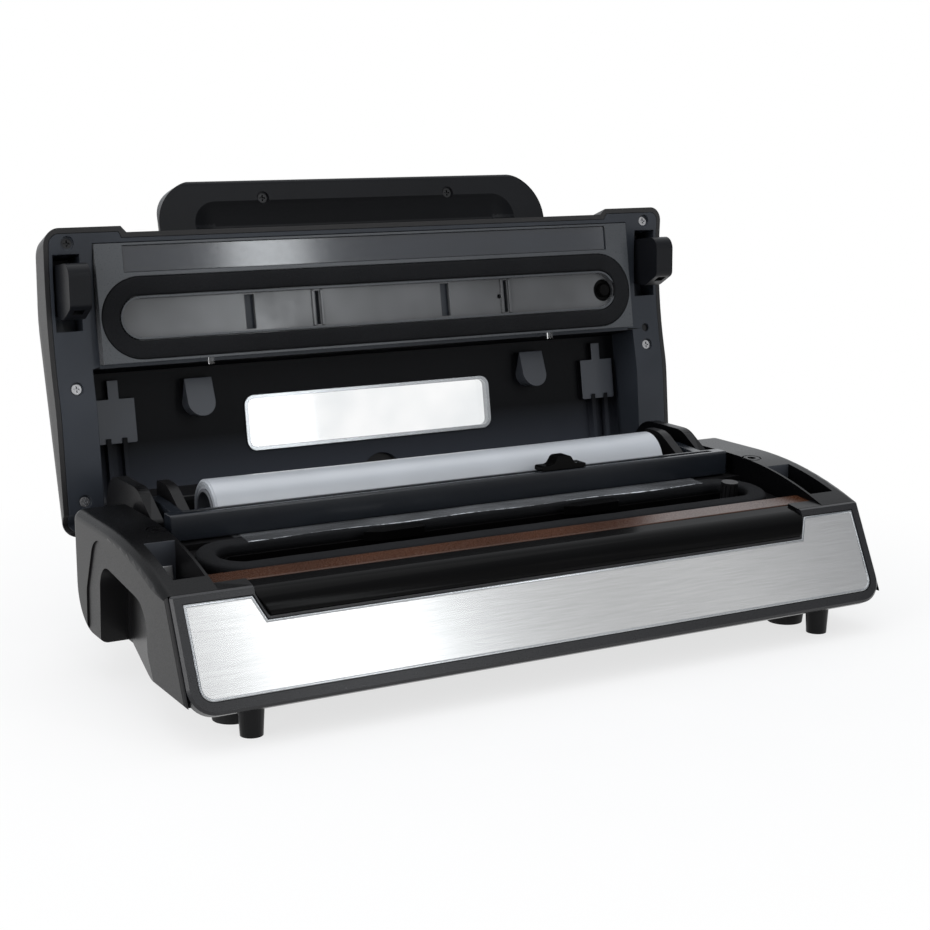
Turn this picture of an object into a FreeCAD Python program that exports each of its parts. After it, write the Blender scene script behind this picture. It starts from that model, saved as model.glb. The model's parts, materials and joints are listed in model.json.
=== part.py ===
"""Countertop vacuum sealer with a roll bay and a film cutter, lid open at rest.

Millimetres, +Z up, the front faces -Y. The lid is drawn closed and then swung open about its hinge.
"""
import FreeCAD, Part
import math
import os
from FreeCAD import Vector

# Overall sizes and the datum: y is measured from a plane 44 mm in front of the footprint's middle
ORIGIN_Y = 43.58
WIDTH = 400.0
CHEEK_W = 25.5
BASE_BOTTOM = 20.0
CHEEK_TOP = 81.4
CHEEK_REAR = 75.0
CHEEK_HEEL_R = 24.0
CROWN_Y = -11.6
CROWN_SHARE = 0.9
WALL = 3.0
FACE_GAP = 0.2
MOVE_GAP = 0.6

# Lid hinge
HINGE_Y = 92.4
HINGE_Z = 70.5
OPEN_ANGLE = 104.7
HINGE_PIN_R = 2.5
PIN_PLAY = 0.05
BARREL_R = 18.0
ARM_EYE_R = 9.0
HUMP_FRONT = 40.0
HUMP_RISE = 22.0
HUMP_CREST = 2.0
REAR_WALL_TOP = 80.0
BAY_WALL_REAR = 77.0
HEEL_TOP = 52.0
HEEL_INSET = 14.0

# Slanted front: the steel panel's top edge and its rake from level
PANEL_TOP_Y = -57.3
PANEL_TOP_Z = 62.5
PANEL_RAKE = 64.06
PANEL_HEIGHT = 44.8
PANEL_INSET = 8.0
PANEL_T = 1.0
BEZEL_T = 5.0
BEZEL_PROUD = 0.8
BEZEL_TOP_BORDER = 4.6
BEZEL_BOTTOM_BORDER = 5.8
BEZEL_SIDE_BORDER = 5.4
NOTCH_INSET = 42.4
NOTCH_DEPTH = 10.6
NOTCH_FLARE = 5.1

# Seal plane: the heat strip's front edge and the slope of deck and lid plate
SEAL_Y = -45.6
SEAL_Z = 67.2
SEAL_TILT = 5.2
STRIP_END = 1.0
STRIP_W = 12.5
TAPE_T = 0.6
DECK_DROP = 6.0
TOUCH_GAP = 0.2
FILM_GAP = 1.4
GASKET_FRONT = 14.4
GASKET_DEPTH = 44.0
GASKET_INSET = 8.5
GASKET_W = 10.5
CHANNEL_INSET = 1.0
CHANNEL_DEPTH = 9.0
TRAY_T = 1.5

# Roll bay, film roll and cutter
ROLL_Y = 56.0
ROLL_R = 16.0
ROLL_INSET = 63.0
ROLL_CORE_R = 11.0
ROLL_CORE_T = 1.5
BAY_R = 24.0
BAY_BOTTOM = 60.2
BAY_END = 12.0
BAY_WALL = 5.5
ARM_SLOT = 10.0
SEAT_GAP = 0.3
LEDGE_Z = 69.9
FILM_T = 0.3
CUTTER_FRONT = 22.0
CUTTER_DEPTH = 9.0
CUTTER_BOTTOM = 70.9
CUTTER_TOP = 84.0
CUTTER_INSET = 7.0
CUTTER_ARM_T = 6.0
CUTTER_PIVOT_Y = 71.0
CUTTER_PIVOT_Z = 75.0
CUTTER_PIN_R = 2.0
SLIDER_X = 58.0
SLIDER_LENGTH = 28.0
RAIL_W = 3.6
RAIL_DEPTH = 5.0

# Latch
SOCKET_W = 15.5
SOCKET_PLAY = 5.8
SOCKET_FRONT = -43.0
SOCKET_REAR = -5.0
SOCKET_FLOOR = 46.0
HOOK_W = 11.6
HOOK_INSET = 11.7
LATCH_Y = -27.0
LATCH_Z = 86.5
LATCH_SHAFT_R = 3.0
LATCH_POCKET_PLAY = 1.3
SPRING_LENGTH = 16.0
SPRING_PITCH = 2.0
SPRING_WIRE_R = 0.7
SPRING_INSET = 34.5
SENSOR_INSET = 22.0
SENSOR_Y = 12.0
SENSOR_R = 2.4
SENSOR_RING_R = 5.6
SENSOR_RING_T = 1.0
MAGNET_Y = 14.0
MAGNET_R = 2.5
MAGNET_SINK = 1.5

# Lid
LID_INSET = 7.0
LID_WALL = 2.6
LID_EDGE_R = 8.0
LID_CROWN_R = 26.0
LID_CROWN_TOP = 117.8
FRAME_WALL = 2.8
LID_FRONT_TOP = (-55.0, 90.0)
LID_BREAK = (15.0, 110.8)
LID_REAR = (101.6, 119.31)
LID_REAR_R = 22.0
LID_LIP = (101.0, 94.5)
RIM_W = 22.0
RIM_TAIL = 89.0
RIM_BEND = 37.0
RIM_RISE = 8.5
RIM_SCREW_INSET = 12.5
EAR_W = 48.2
EAR_STEP = 3.2
PLATE_INSET = 7.7
PLATE_FRONT = -3.3
PLATE_BORDER = 1.3
PLATE_T = 7.0
GASKET_PROUD = 0.8
PANEL_RECESS = 4.2
RIB_SHARE = 0.4873
SEAL_SLOT_INSET = 15.2
SEAL_SLOT_FRONT = -2.0
SEAL_SLOT_W = 14.3
SEAL_SLOT_DEPTH = 3.0
PAD_T = 1.8
CAVITY_FRONT = 14.9
WINDOW_HALF = 78.0
WINDOW_FRONT = 33.5
WINDOW_DEPTH = 29.4
WINDOW_R = 5.0
WINDOW_T = 2.0
WINDOW_FLANGE = 0.9
BUMP_X = 107.0
BUMP_W = 16.0
BUMP_FRONT_H = 6.0
BUMP_REAR_H = 11.5
BUMP_FRONT = 20.5
BUMP_LENGTH = 21.0
END_PAD_INSET = 16.0
END_PAD_W = 23.0
END_PAD_H = 4.0
END_PAD_FRONT = 28.5
END_PAD_LENGTH = 24.0
ARM_RIB_T = 2.6
ARM_RIB_H = 5.0
THUMB_R = 13.0
THUMB_X = 4.0
NECK_W = 6.0
NECK_LENGTH = 10.0

# Handle
HANDLE_HALF = 122.0
HANDLE_FRONT = -86.5
HANDLE_REAR = -22.0
HANDLE_UNDER = 89.2
HANDLE_LIFT = 3.0
HANDLE_TOP = 103.0
HANDLE_CORNER_R = 26.0
HANDLE_SPLIT = 5.0
HANDLE_EDGE_R = 13.5
GRIP_HALF = 88.0
GRIP_R = 28.0
GRIP_Y = -3.0
GRIP_DEPTH = 3.4
HANDLE_SCREW_X = 58.9
HANDLE_SCREW_Y = -75.3

# Controls on the lid's front slope
CONTROL_MID = 53.0
CONTROL_HALF = 78.0
CONTROL_W = 24.0
CONTROL_T = 1.6
CONTROL_SEAT = 1.2
BUTTON_R = 7.0
BUTTON_PITCH = 46.0
BUTTON_PROUD = 1.6
BUTTON_TRAVEL = 0.9
BUTTON_FLANGE = 1.6
BUTTON_PLAY = 0.3
BOARD_DROP = 6.0
BOARD_T = 1.6

# Feet
PEG_INSET = 36.0
PEG_Y = -65.3
PEG_R = 6.6
PEG_TIP_R = 5.4
PAD_FOOT_INSET = 37.0
PAD_FOOT_FRONT = -40.0
PAD_FOOT_REAR = 88.0
PAD_FOOT_REAR_INSET = 60.0
PAD_FOOT_R = 12.0
PAD_FOOT_TIP_R = 9.5

# Inside the base
COVER_T = 2.5
BOSS_INSET = 18.0
CAVITY_INSET = 6.5
PUMP_X = -40.0
PUMP_Y = 58.0
PUMP_AXIS_Z = 38.5
MOTOR_R = 14.0
MOTOR_LENGTH = 62.0
PUMP_HEAD_LENGTH = 40.0
PUMP_HEAD_W = 30.0
BRACKET_T = 1.6
TRANSFORMER_INSET = 72.0
TRANSFORMER_Y = 52.0
TRANSFORMER_L = 56.0
TRANSFORMER_W = 44.0
TRANSFORMER_H = 30.0
BOARD_X = -60.0
BOARD_Y = -18.0
BOARD_L = 130.0
BOARD_W = 52.0
BOARD_POST_H = 5.0
VALVE_X = 62.0
HOSE_R = 4.0
NECK_R = 2.8
PORT_INSET = 8.5
LID_VALVE_INSET = 5.0
PORT_R = 4.6
PORT_RISE = 3.6
INLET_INSET = 80.0
INLET_Z = 44.0
SCREW_R = 1.6
SCREW_HEAD_R = 2.7
SCREW_HEAD_T = 1.8
SCREW_RECESS = 0.9
SCREW_SLOT = 0.8
SCREW_SINK = 1.3
SCREW_WELL_R = 3.5

# Half widths and places across the width, from the middle outwards
HALF = WIDTH / 2
INNER = HALF - CHEEK_W
PANEL_HALF = HALF - PANEL_INSET
NOTCH_HALF = HALF - NOTCH_INSET
STRIP_HALF = INNER - STRIP_END
GASKET_HALF = INNER - GASKET_INSET
CHANNEL_HALF = GASKET_HALF - GASKET_W - CHANNEL_INSET
ROLL_HALF = HALF - ROLL_INSET
BAY_HALF = ROLL_HALF + BAY_END
CUTTER_HALF = INNER - CUTTER_INSET
CAVITY_HALF = INNER - CAVITY_INSET
TRANSFORMER_X = CAVITY_HALF - TRANSFORMER_INSET
CAVITY_REAR_HALF = BAY_HALF - WALL
LID_HALF = HALF - LID_INSET
RIM_INNER = LID_HALF - RIM_W
RIM_SCREW_X = LID_HALF - RIM_SCREW_INSET
EAR_INNER = HALF - EAR_W
PLATE_HALF = INNER - PLATE_INSET
PLATE_DEPTH = GASKET_FRONT + GASKET_DEPTH + PLATE_BORDER - PLATE_FRONT
SEAL_SLOT_HALF = PLATE_HALF - SEAL_SLOT_INSET
END_PAD_X = RIM_INNER - END_PAD_INSET
RIB_FAR = GASKET_HALF * RIB_SHARE
RIB_NEAR = RIB_FAR / 2
HOOK_X = LID_HALF - HOOK_INSET
SOCKET_IN = HOOK_X - SOCKET_PLAY
SOCKET_OUT = SOCKET_IN + SOCKET_W
PEG_X = HALF - PEG_INSET
PAD_FOOT_X = HALF - PAD_FOOT_INSET
PORT_X = CHANNEL_HALF - PORT_INSET
PORT_V = GASKET_FRONT + GASKET_DEPTH / 2
LID_VALVE_X = CHANNEL_HALF - LID_VALVE_INSET
INLET_X = HALF - INLET_INSET
SLOT_IN = BAY_HALF + BAY_WALL
SLOT_OUT = SLOT_IN + ARM_SLOT
HUMP_OUT = RIM_INNER - MOVE_GAP
PLATE_RISE = FILM_GAP - TOUCH_GAP + GASKET_PROUD
ROLL_Z = BAY_BOTTOM + SEAT_GAP + ROLL_R
DEEP = 60.0


def cosd(angle):
    return math.cos(math.radians(angle))


def sind(angle):
    return math.sin(math.radians(angle))


def on_front(up, out):
    """(y, z) of a point up the slanted front from the panel's top edge and out from its face."""
    y = PANEL_TOP_Y + up * cosd(PANEL_RAKE) - out * sind(PANEL_RAKE)
    return y, PANEL_TOP_Z + up * sind(PANEL_RAKE) + out * cosd(PANEL_RAKE)


def front_at(z, out):
    """(y, z) on the slanted front at a height."""
    up = (z - PANEL_TOP_Z - out * cosd(PANEL_RAKE)) / sind(PANEL_RAKE)
    return on_front(up, out)


def on_deck(back, up):
    """(y, z) of a point along the seal plane from the strip's front edge and up from it."""
    y = SEAL_Y + back * cosd(SEAL_TILT) - up * sind(SEAL_TILT)
    return y, SEAL_Z + back * sind(SEAL_TILT) + up * cosd(SEAL_TILT)


def wire(vertices, place):
    """Closed wire through (a, b) or (a, b, radius) vertices; a radius rounds that corner."""
    points = [Vector(v[0], v[1], 0) for v in vertices]
    corners = []
    for i, vertex in enumerate(vertices):
        here = points[i]
        radius = vertex[2] if len(vertex) > 2 else 0.0
        if radius <= 0:
            corners.append((here, None, here))
            continue
        before = (points[i - 1] - here).normalize()
        after = (points[(i + 1) % len(points)] - here).normalize()
        half = before.getAngle(after) / 2
        middle = here + (before + after).normalize() * (radius / math.sin(half) - radius)
        reach = radius / math.tan(half)
        corners.append((here + before * reach, middle, here + after * reach))
    edges = []
    for i, (start, middle, end) in enumerate(corners):
        if middle is not None:
            edges.append(Part.Arc(place(start), place(middle), place(end)).toShape())
        follow = corners[(i + 1) % len(corners)][0]
        if end.distanceToPoint(follow) > 1e-6:
            edges.append(Part.LineSegment(place(end), place(follow)).toShape())
    return Part.Wire(edges)


def prism_x(x0, x1, vertices):
    """Solid between two planes of constant x from an outline in (y, z)."""
    face = Part.Face(wire(vertices, lambda p: Vector(x0, p.x, p.y)))
    return face.extrude(Vector(x1 - x0, 0, 0))


def prism_y(y0, y1, vertices):
    """Solid between two planes of constant y from an outline in (x, z)."""
    face = Part.Face(wire(vertices, lambda p: Vector(p.x, y0, p.y)))
    return face.extrude(Vector(0, y1 - y0, 0))


def prism_z(z0, z1, vertices):
    """Solid between two planes of constant z from an outline in (x, y)."""
    face = Part.Face(wire(vertices, lambda p: Vector(p.x, p.y, z0)))
    return face.extrude(Vector(0, 0, z1 - z0))


def rectangle(x0, x1, y0, y1, radius=0.0):
    return [(x0, y0, radius), (x1, y0, radius), (x1, y1, radius), (x0, y1, radius)]


def box(x0, x1, y0, y1, z0, z1):
    return Part.makeBox(x1 - x0, y1 - y0, z1 - z0, Vector(x0, y0, z0))


def rod_x(x0, x1, y, z, radius):
    return Part.makeCylinder(radius, x1 - x0, Vector(x0, y, z), Vector(1, 0, 0))


def rod_z(x, y, z0, z1, radius):
    return Part.makeCylinder(radius, z1 - z0, Vector(x, y, z0), Vector(0, 0, 1))


def cone_z(x, y, z0, z1, r0, r1):
    return Part.makeCone(r0, r1, z1 - z0, Vector(x, y, z0), Vector(0, 0, 1))


def mirrored(shape):
    return shape.mirror(Vector(0, 0, 0), Vector(1, 0, 0))


def both(shape):
    """The shape and its mirror image across the middle, as one solid list."""
    return [shape, mirrored(shape)]


def fused(shapes):
    return shapes[0].multiFuse(shapes[1:]).removeSplitter()


def cut(shape, tools):
    """Take the tools away one after another."""
    for tool in tools:
        shape = shape.cut(tool)
    return shape


def group(shapes):
    return Part.makeCompound([solid for shape in shapes for solid in shape.Solids])


def inset(vertices, distance):
    """A polyline's inner vertices, each line moved inwards (to the right of its run)."""
    lines = []
    for first, second in zip(vertices, vertices[1:]):
        run = Vector(second[0] - first[0], second[1] - first[1], 0).normalize()
        shift = Vector(run.y, -run.x, 0) * distance
        lines.append((Vector(first[0], first[1], 0) + shift, run))
    inner = [lines[0][0]]
    for (p, d), (q, e) in zip(lines, lines[1:]):
        t = ((q.x - p.x) * e.y - (q.y - p.y) * e.x) / (d.x * e.y - d.y * e.x)
        inner.append(p + d * t)
    last = vertices[-1]
    inner.append(Vector(last[0], last[1], 0) + (lines[-1][0] - Vector(*vertices[-2][:2], 0)))
    radii = [v[2] if len(v) > 2 else 0.0 for v in vertices]
    return [(p.x, p.y, max(r - distance, 0.0)) for p, r in zip(inner, radii)]


def on_slope(shape, y, z, angle):
    """Carry a shape drawn level at the origin to a place tilted about X."""
    moved = shape.copy()
    moved.rotate(Vector(0, 0, 0), Vector(1, 0, 0), angle)
    moved.translate(Vector(0, y, z))
    return moved


def deck(shape):
    """x, back and up in the seal plane."""
    return on_slope(shape, SEAL_Y, SEAL_Z, SEAL_TILT)


def front(shape):
    """x, up and out on the slanted front."""
    return on_slope(shape, PANEL_TOP_Y, PANEL_TOP_Z, PANEL_RAKE)


TOP_TILT = math.degrees(math.atan2(LID_BREAK[1] - LID_FRONT_TOP[1], LID_BREAK[0] - LID_FRONT_TOP[0]))
WINDOW_TILT = math.degrees(math.atan2(LID_REAR[1] - LID_BREAK[1], LID_REAR[0] - LID_BREAK[0]))


def lid_slope(shape):
    """x, back and up on the lid's front slope, from the slope's front corner."""
    return on_slope(shape, LID_FRONT_TOP[0], LID_FRONT_TOP[1], TOP_TILT)


def lid_roof(shape):
    """x, back and up on the flatter roof behind the slope, from the break."""
    return on_slope(shape, LID_BREAK[0], LID_BREAK[1], WINDOW_TILT)


def racetrack(half, front_edge, depth, z0, z1):
    """Long ring outline with round ends, drawn level."""
    radius = depth / 2 - 0.01
    return prism_z(z0, z1, rectangle(-half, half, front_edge, front_edge + depth, radius))


def ring(half, front_edge, depth, width, z0, z1):
    inner = racetrack(half - width, front_edge + width, depth - 2 * width, z0 - 1, z1 + 1)
    return racetrack(half, front_edge, depth, z0, z1).cut(inner)


def screw(x, y, z, length):
    """Pan head screw driven upwards, head at the bottom."""
    head = rod_z(x, y, z, z + SCREW_HEAD_T, SCREW_HEAD_R)
    return head.fuse(rod_z(x, y, z + SCREW_HEAD_T, z + length, SCREW_R)).removeSplitter()


def cross_screw(x, y, z, length):
    """The same screw with its cross recess."""
    reach = SCREW_HEAD_R * 0.62
    half = SCREW_SLOT / 2
    slots = [box(x - a, x + a, y - b, y + b, z - 1, z + SCREW_RECESS)
             for a, b in ((reach, half), (half, reach))]
    return cut(screw(x, y, z, length), slots)


NODES = {}


def keep(name, shapes):
    """Store a node in the part's own frame."""
    solids = shapes if isinstance(shapes, list) else [shapes]
    body = group(solids)
    body.translate(Vector(0, -ORIGIN_Y, 0))
    NODES[name] = body if len(body.Solids) > 1 else body.Solids[0]


def keep_lid(name, shapes):
    """Swing a piece drawn on the closed lid open, then store it."""
    solids = shapes if isinstance(shapes, list) else [shapes]
    opened = []
    for solid in solids:
        turned = solid.copy()
        turned.rotate(Vector(0, HINGE_Y, HINGE_Z), Vector(1, 0, 0), -OPEN_ANGLE)
        opened.append(turned)
    keep(name, opened)


# Outlines shared by base and lid
CHEEK_FRONT_TOP = on_front(BEZEL_TOP_BORDER, -0.5)
CROWN_RISE = math.atan2(CHEEK_TOP - CHEEK_FRONT_TOP[1], CROWN_Y - CHEEK_FRONT_TOP[0])
CROWN_RUN = math.hypot(CHEEK_TOP - CHEEK_FRONT_TOP[1], CROWN_Y - CHEEK_FRONT_TOP[0])
CROWN_R = CROWN_SHARE * CROWN_RUN / math.tan(CROWN_RISE / 2)
CROWN = (CROWN_Y, CHEEK_TOP, CROWN_R)
CHEEK_OUTLINE = [front_at(BASE_BOTTOM, -0.5), CHEEK_FRONT_TOP, CROWN, (CHEEK_REAR, CHEEK_TOP, 6.0),
                 (CHEEK_REAR, BASE_BOTTOM, CHEEK_HEEL_R)]
REAR_Y = HINGE_Y + BARREL_R
HUMP_TOP = HINGE_Z + BARREL_R + HUMP_CREST
DECK_REAR = on_deck(GASKET_FRONT + GASKET_DEPTH + 4.0, -DECK_DROP)
FORE = [front_at(BASE_BOTTOM, -BEZEL_T), on_front(-1.5, -BEZEL_T), on_deck(-0.4, -DECK_DROP), DECK_REAR,
        (DECK_REAR[0], LEDGE_Z)]
HUMP = [(HUMP_FRONT, LEDGE_Z), (HUMP_FRONT, 77.5, 3.0), (HUMP_FRONT + HUMP_RISE, HUMP_TOP, 18.0),
        (REAR_Y, HUMP_TOP, BARREL_R), (REAR_Y, BASE_BOTTOM, 14.0)]


def cheek():
    """Right cheek: side block with its hand recess, latch socket and sensor hole."""
    block = prism_x(INNER - 0.5, HALF, CHEEK_OUTLINE)
    crest = [e for e in block.Edges if e.BoundBox.XMin > HALF - 0.1 and e.BoundBox.ZMax > 60]
    block = block.makeFillet(5.0, crest)
    arch = prism_x(HALF - 15.0, HALF + 1, [(40.0, 12.0), (36.3, 62.5, 13.0), (-29.0, 55.5, 15.0),
                                           (-29.0, 33.0, 6.0), (-42.0, 12.0)])
    wedge = prism_z(0, 80, [(HALF + 1, -46.0), (HALF + 1, 45.0), (HALF - 15.0, 45.0), (HALF - 15.0, 33.0)])
    panel = prism_x(HALF - 0.9, HALF + 1, [(58.0, 12.0), (56.0, 44.0, 14.0), (42.0, 73.5, 14.0),
                                           (-8.0, 70.5, 150.0), on_front(-1.0, 4.0), on_front(-60.0, 4.0)])
    return cut(block, [arch.common(wedge), panel])


def sensor_hole():
    return rod_z(HALF - SENSOR_INSET, SENSOR_Y, CHEEK_TOP - 7.4, CHEEK_TOP + 10.0, SENSOR_R)


def sensor_ring():
    """Shallow ring groove round the sensor hole."""
    ring_cut = rod_z(HALF - SENSOR_INSET, SENSOR_Y, CHEEK_TOP - 1.2, CHEEK_TOP + 10.0, SENSOR_RING_R)
    inner = SENSOR_RING_R - SENSOR_RING_T
    return ring_cut.cut(rod_z(HALF - SENSOR_INSET, SENSOR_Y, CHEEK_TOP - 2.0, CHEEK_TOP + 11.0, inner))


def socket():
    return box(SOCKET_IN, SOCKET_OUT, SOCKET_FRONT, SOCKET_REAR, SOCKET_FLOOR, CHEEK_TOP + 10)


def base_sections():
    """Deck, roll bay, end walls, arm slots and hinge humps, as slices across the width."""
    bay_rear = ROLL_Y + BAY_R - 1.0
    foot = (REAR_Y, BASE_BOTTOM, 14.0)
    heel = [(CHEEK_REAR, HEEL_TOP), (REAR_Y, HEEL_TOP, 6.0), foot]
    middle = prism_x(-BAY_HALF, BAY_HALF, FORE + [(bay_rear, LEDGE_Z), (bay_rear, REAR_WALL_TOP, 2.0),
                                                  (REAR_Y, REAR_WALL_TOP, 8.0), foot])
    middle = middle.cut(rod_x(-HALF, HALF, ROLL_Y, BAY_BOTTOM + BAY_R, BAY_R))
    wall = prism_x(BAY_HALF, SLOT_IN, FORE + HUMP[:3] + [(BAY_WALL_REAR, HUMP_TOP, 2.0),
                                                         (BAY_WALL_REAR, REAR_WALL_TOP),
                                                         (REAR_Y, REAR_WALL_TOP, 8.0), foot])
    sill = BAY_BOTTOM + 1.0
    slot = prism_x(SLOT_IN, SLOT_OUT, FORE + [(44.0, LEDGE_Z), (44.0, sill), (80.0, sill),
                                              (80.0, HEEL_TOP + 2.0), (REAR_Y, HEEL_TOP + 2.0), foot])
    inner = prism_x(SLOT_OUT, HUMP_OUT, FORE + HUMP)
    corner = prism_x(HUMP_OUT, INNER, FORE + [(CHEEK_REAR, LEDGE_Z)] + heel)
    joint = CHEEK_REAR - 10.0
    outer = prism_x(INNER, HALF - HEEL_INSET, [(joint, BASE_BOTTOM), (joint, HEEL_TOP)] + heel[1:])
    land = prism_x(NOTCH_HALF - 0.4, INNER, [on_front(-1.5, -BEZEL_T), CHEEK_FRONT_TOP, on_deck(-0.8, 0.6),
                                             on_deck(-0.8, -DECK_DROP - 1.0)])
    slices = [middle]
    for side in (wall, slot, inner, corner, outer, land):
        slices += both(side)
    return slices


def base_cavity():
    """Room for the works, open at the underside."""
    lift = -DECK_DROP - WALL
    roof = [front_at(BASE_BOTTOM - 1, -BEZEL_T - WALL), on_front(-8.0, -BEZEL_T - WALL), on_deck(4.0, lift),
            on_deck(21.0, lift), on_deck(21.0, lift - CHANNEL_DEPTH), on_deck(49.0, lift - CHANNEL_DEPTH),
            (ROLL_Y, BAY_BOTTOM - WALL), (80.0, BAY_BOTTOM - WALL), (80.0, BASE_BOTTOM - 1)]
    main = prism_x(-CAVITY_HALF, CAVITY_HALF, roof)
    rear = box(-CAVITY_REAR_HALF, CAVITY_REAR_HALF, 70.0, REAR_Y - WALL, BASE_BOTTOM - 1, HINGE_Z - 6.0)
    heel = box(-CAVITY_HALF, CAVITY_HALF, 70.0, REAR_Y - 14.0, BASE_BOTTOM - 1, BASE_BOTTOM + COVER_T)
    return [main, rear, heel]


def channel():
    """Vacuum channel inside the lower gasket, level drawing."""
    edge = GASKET_FRONT + GASKET_W + 0.6
    depth = GASKET_DEPTH - 2 * GASKET_W - 1.2
    return edge, depth


def base_housing():
    body = fused(base_sections() + both(cheek()))
    edge, depth = channel()
    trench = deck(racetrack(CHANNEL_HALF, edge, depth, -DECK_DROP - CHANNEL_DEPTH, 0))
    bezel_room = front(prism_z(-BEZEL_T, 20, rectangle(-PANEL_HALF - BEZEL_SIDE_BORDER - FACE_GAP,
                                                       PANEL_HALF + BEZEL_SIDE_BORDER + FACE_GAP,
                                                       -80.0, BEZEL_TOP_BORDER + FACE_GAP)))
    port_hole = deck(rod_z(PORT_X, PORT_V, -DECK_DROP - CHANNEL_DEPTH - 20, 0, NECK_R))
    inlet = box(INLET_X - 12.0, INLET_X + 12.0, REAR_Y - WALL - 1, REAR_Y + 1, INLET_Z - 9.0, INLET_Z + 9.0)
    body = cut(body, [trench, bezel_room, port_hole, inlet] + base_cavity())
    hinge_hole = rod_x(BAY_HALF + 1, HUMP_OUT - 1, HINGE_Y, HINGE_Z, HINGE_PIN_R)
    cutter_hole = rod_x(BAY_HALF + 1, SLOT_OUT + 4, CUTTER_PIVOT_Y, CUTTER_PIVOT_Z, CUTTER_PIN_R)
    for side in (socket(), sensor_hole(), sensor_ring(), hinge_hole, cutter_hole):
        body = cut(body, both(side))
    floor = BASE_BOTTOM + COVER_T
    bosses = [rod_z(x, y, floor, top, 4.5) for x, y, top in boss_places()]
    holes = [rod_z(x, y, floor - 1, floor + 8.0, SCREW_R) for x, y, top in boss_places()]
    return cut(fused([body] + bosses), holes)


def boss_places():
    """(x, y, top) of the posts that take the bottom cover's screws."""
    places = [(60.0, -54.0, 47.0), (CAVITY_HALF - BOSS_INSET, 20.0, 57.0), (60.0, 84.0, 66.0)]
    return [(side * x, y, top) for x, y, top in places for side in (1, -1)]


def bottom_cover():
    gap = FACE_GAP
    lead = front_at(BASE_BOTTOM + COVER_T, -BEZEL_T - WALL)[0]
    plate = prism_z(BASE_BOTTOM, BASE_BOTTOM + COVER_T,
                    rectangle(-CAVITY_HALF + gap, CAVITY_HALF - gap, lead + gap, REAR_Y - 14.0 - gap, 2.0))
    vents = [box(x - 1.5, x + 1.5, 20.0, 50.0, 0, DEEP) for x in range(-60, 61, 10)]
    holes = [rod_z(x, y, 0, DEEP, SCREW_R) for x, y, top in boss_places()]
    heads = [rod_z(x, y, 0, BASE_BOTTOM + SCREW_HEAD_T - 0.6, SCREW_HEAD_R) for x, y, top in boss_places()]
    posts = [rod_z(BOARD_X + sx * (BOARD_L / 2 - 5), BOARD_Y + sy * (BOARD_W / 2 - 5), BASE_BOTTOM + COVER_T,
                   BASE_BOTTOM + COVER_T + BOARD_POST_H, 3.0) for sx in (1, -1) for sy in (1, -1)]
    return fused([cut(plate, vents + holes + heads)] + posts)


def front_bezel():
    half = PANEL_HALF + BEZEL_SIDE_BORDER
    low = -PANEL_HEIGHT - BEZEL_BOTTOM_BORDER
    plate = prism_z(-BEZEL_T, BEZEL_PROUD, [(-half, low, 13.0), (half, low, 13.0),
                                            (half, BEZEL_TOP_BORDER, 1.5), (-half, BEZEL_TOP_BORDER, 1.5)])
    rim = [e for e in plate.Edges if e.BoundBox.ZMin > BEZEL_PROUD - 0.01]
    plate = plate.makeChamfer(1.2, rim)
    room = prism_z(-PANEL_T, 5, panel_outline(FACE_GAP))
    foot = NOTCH_HALF - NOTCH_FLARE
    notch = prism_z(-20, 20, [(-NOTCH_HALF, 30.0), (-NOTCH_HALF, 0.0), (-foot, -NOTCH_DEPTH),
                              (foot, -NOTCH_DEPTH), (NOTCH_HALF, 0.0), (NOTCH_HALF, 30.0)])
    return front(cut(plate, [room, notch]))


def panel_outline(grow):
    """Steel panel with its apron notch; grow opens the seat round it."""
    half = PANEL_HALF + grow
    low = -PANEL_HEIGHT - grow
    return [(-half, low, 7.0), (half, low, 7.0), (half, grow), (NOTCH_HALF + 1.2 - grow, grow),
            (NOTCH_HALF + 1.2 - NOTCH_FLARE - grow, -NOTCH_DEPTH - 1.2 + grow),
            (-NOTCH_HALF - 1.2 + NOTCH_FLARE + grow, -NOTCH_DEPTH - 1.2 + grow),
            (-NOTCH_HALF - 1.2 + grow, grow), (-half, grow)]


def front_panel():
    return front(prism_z(-PANEL_T, FACE_GAP, panel_outline(0.0)))


def apron():
    """Glossy strip from the heat strip down into the panel's notch, with a rolled lip."""
    crest = on_deck(-0.4, -0.6)
    foot = on_front(-1.5, -BEZEL_T)
    seat = on_deck(-0.4, -DECK_DROP)
    section = [crest, (on_front(0.5, 2.6)) + (14.0,), on_front(-NOTCH_DEPTH + 0.2, 2.8) + (2.0,),
               on_front(-NOTCH_DEPTH + 0.2, -BEZEL_T), foot, seat]
    strip = prism_x(-NOTCH_HALF, NOTCH_HALF, section)
    sides = front(prism_z(-30, 30, [(-NOTCH_HALF + 0.4, 40.0), (-NOTCH_HALF + 0.4, 0.0),
                                    (-NOTCH_HALF + NOTCH_FLARE + 0.4, -NOTCH_DEPTH),
                                    (NOTCH_HALF - NOTCH_FLARE - 0.4, -NOTCH_DEPTH), (NOTCH_HALF - 0.4, 0.0),
                                    (NOTCH_HALF - 0.4, 40.0)]))
    return strip.common(sides)


def feet():
    pegs = both(cone_z(PEG_X, PEG_Y, 0, BASE_BOTTOM, PEG_TIP_R, PEG_R))
    pads = []
    for x, y in ((PAD_FOOT_X, PAD_FOOT_FRONT), (HALF - PAD_FOOT_REAR_INSET, PAD_FOOT_REAR)):
        pads += both(cone_z(x, y, 0, BASE_BOTTOM, PAD_FOOT_TIP_R, PAD_FOOT_R))
    keep("front_feet", pegs)
    keep("rubber_feet", pads)


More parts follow.
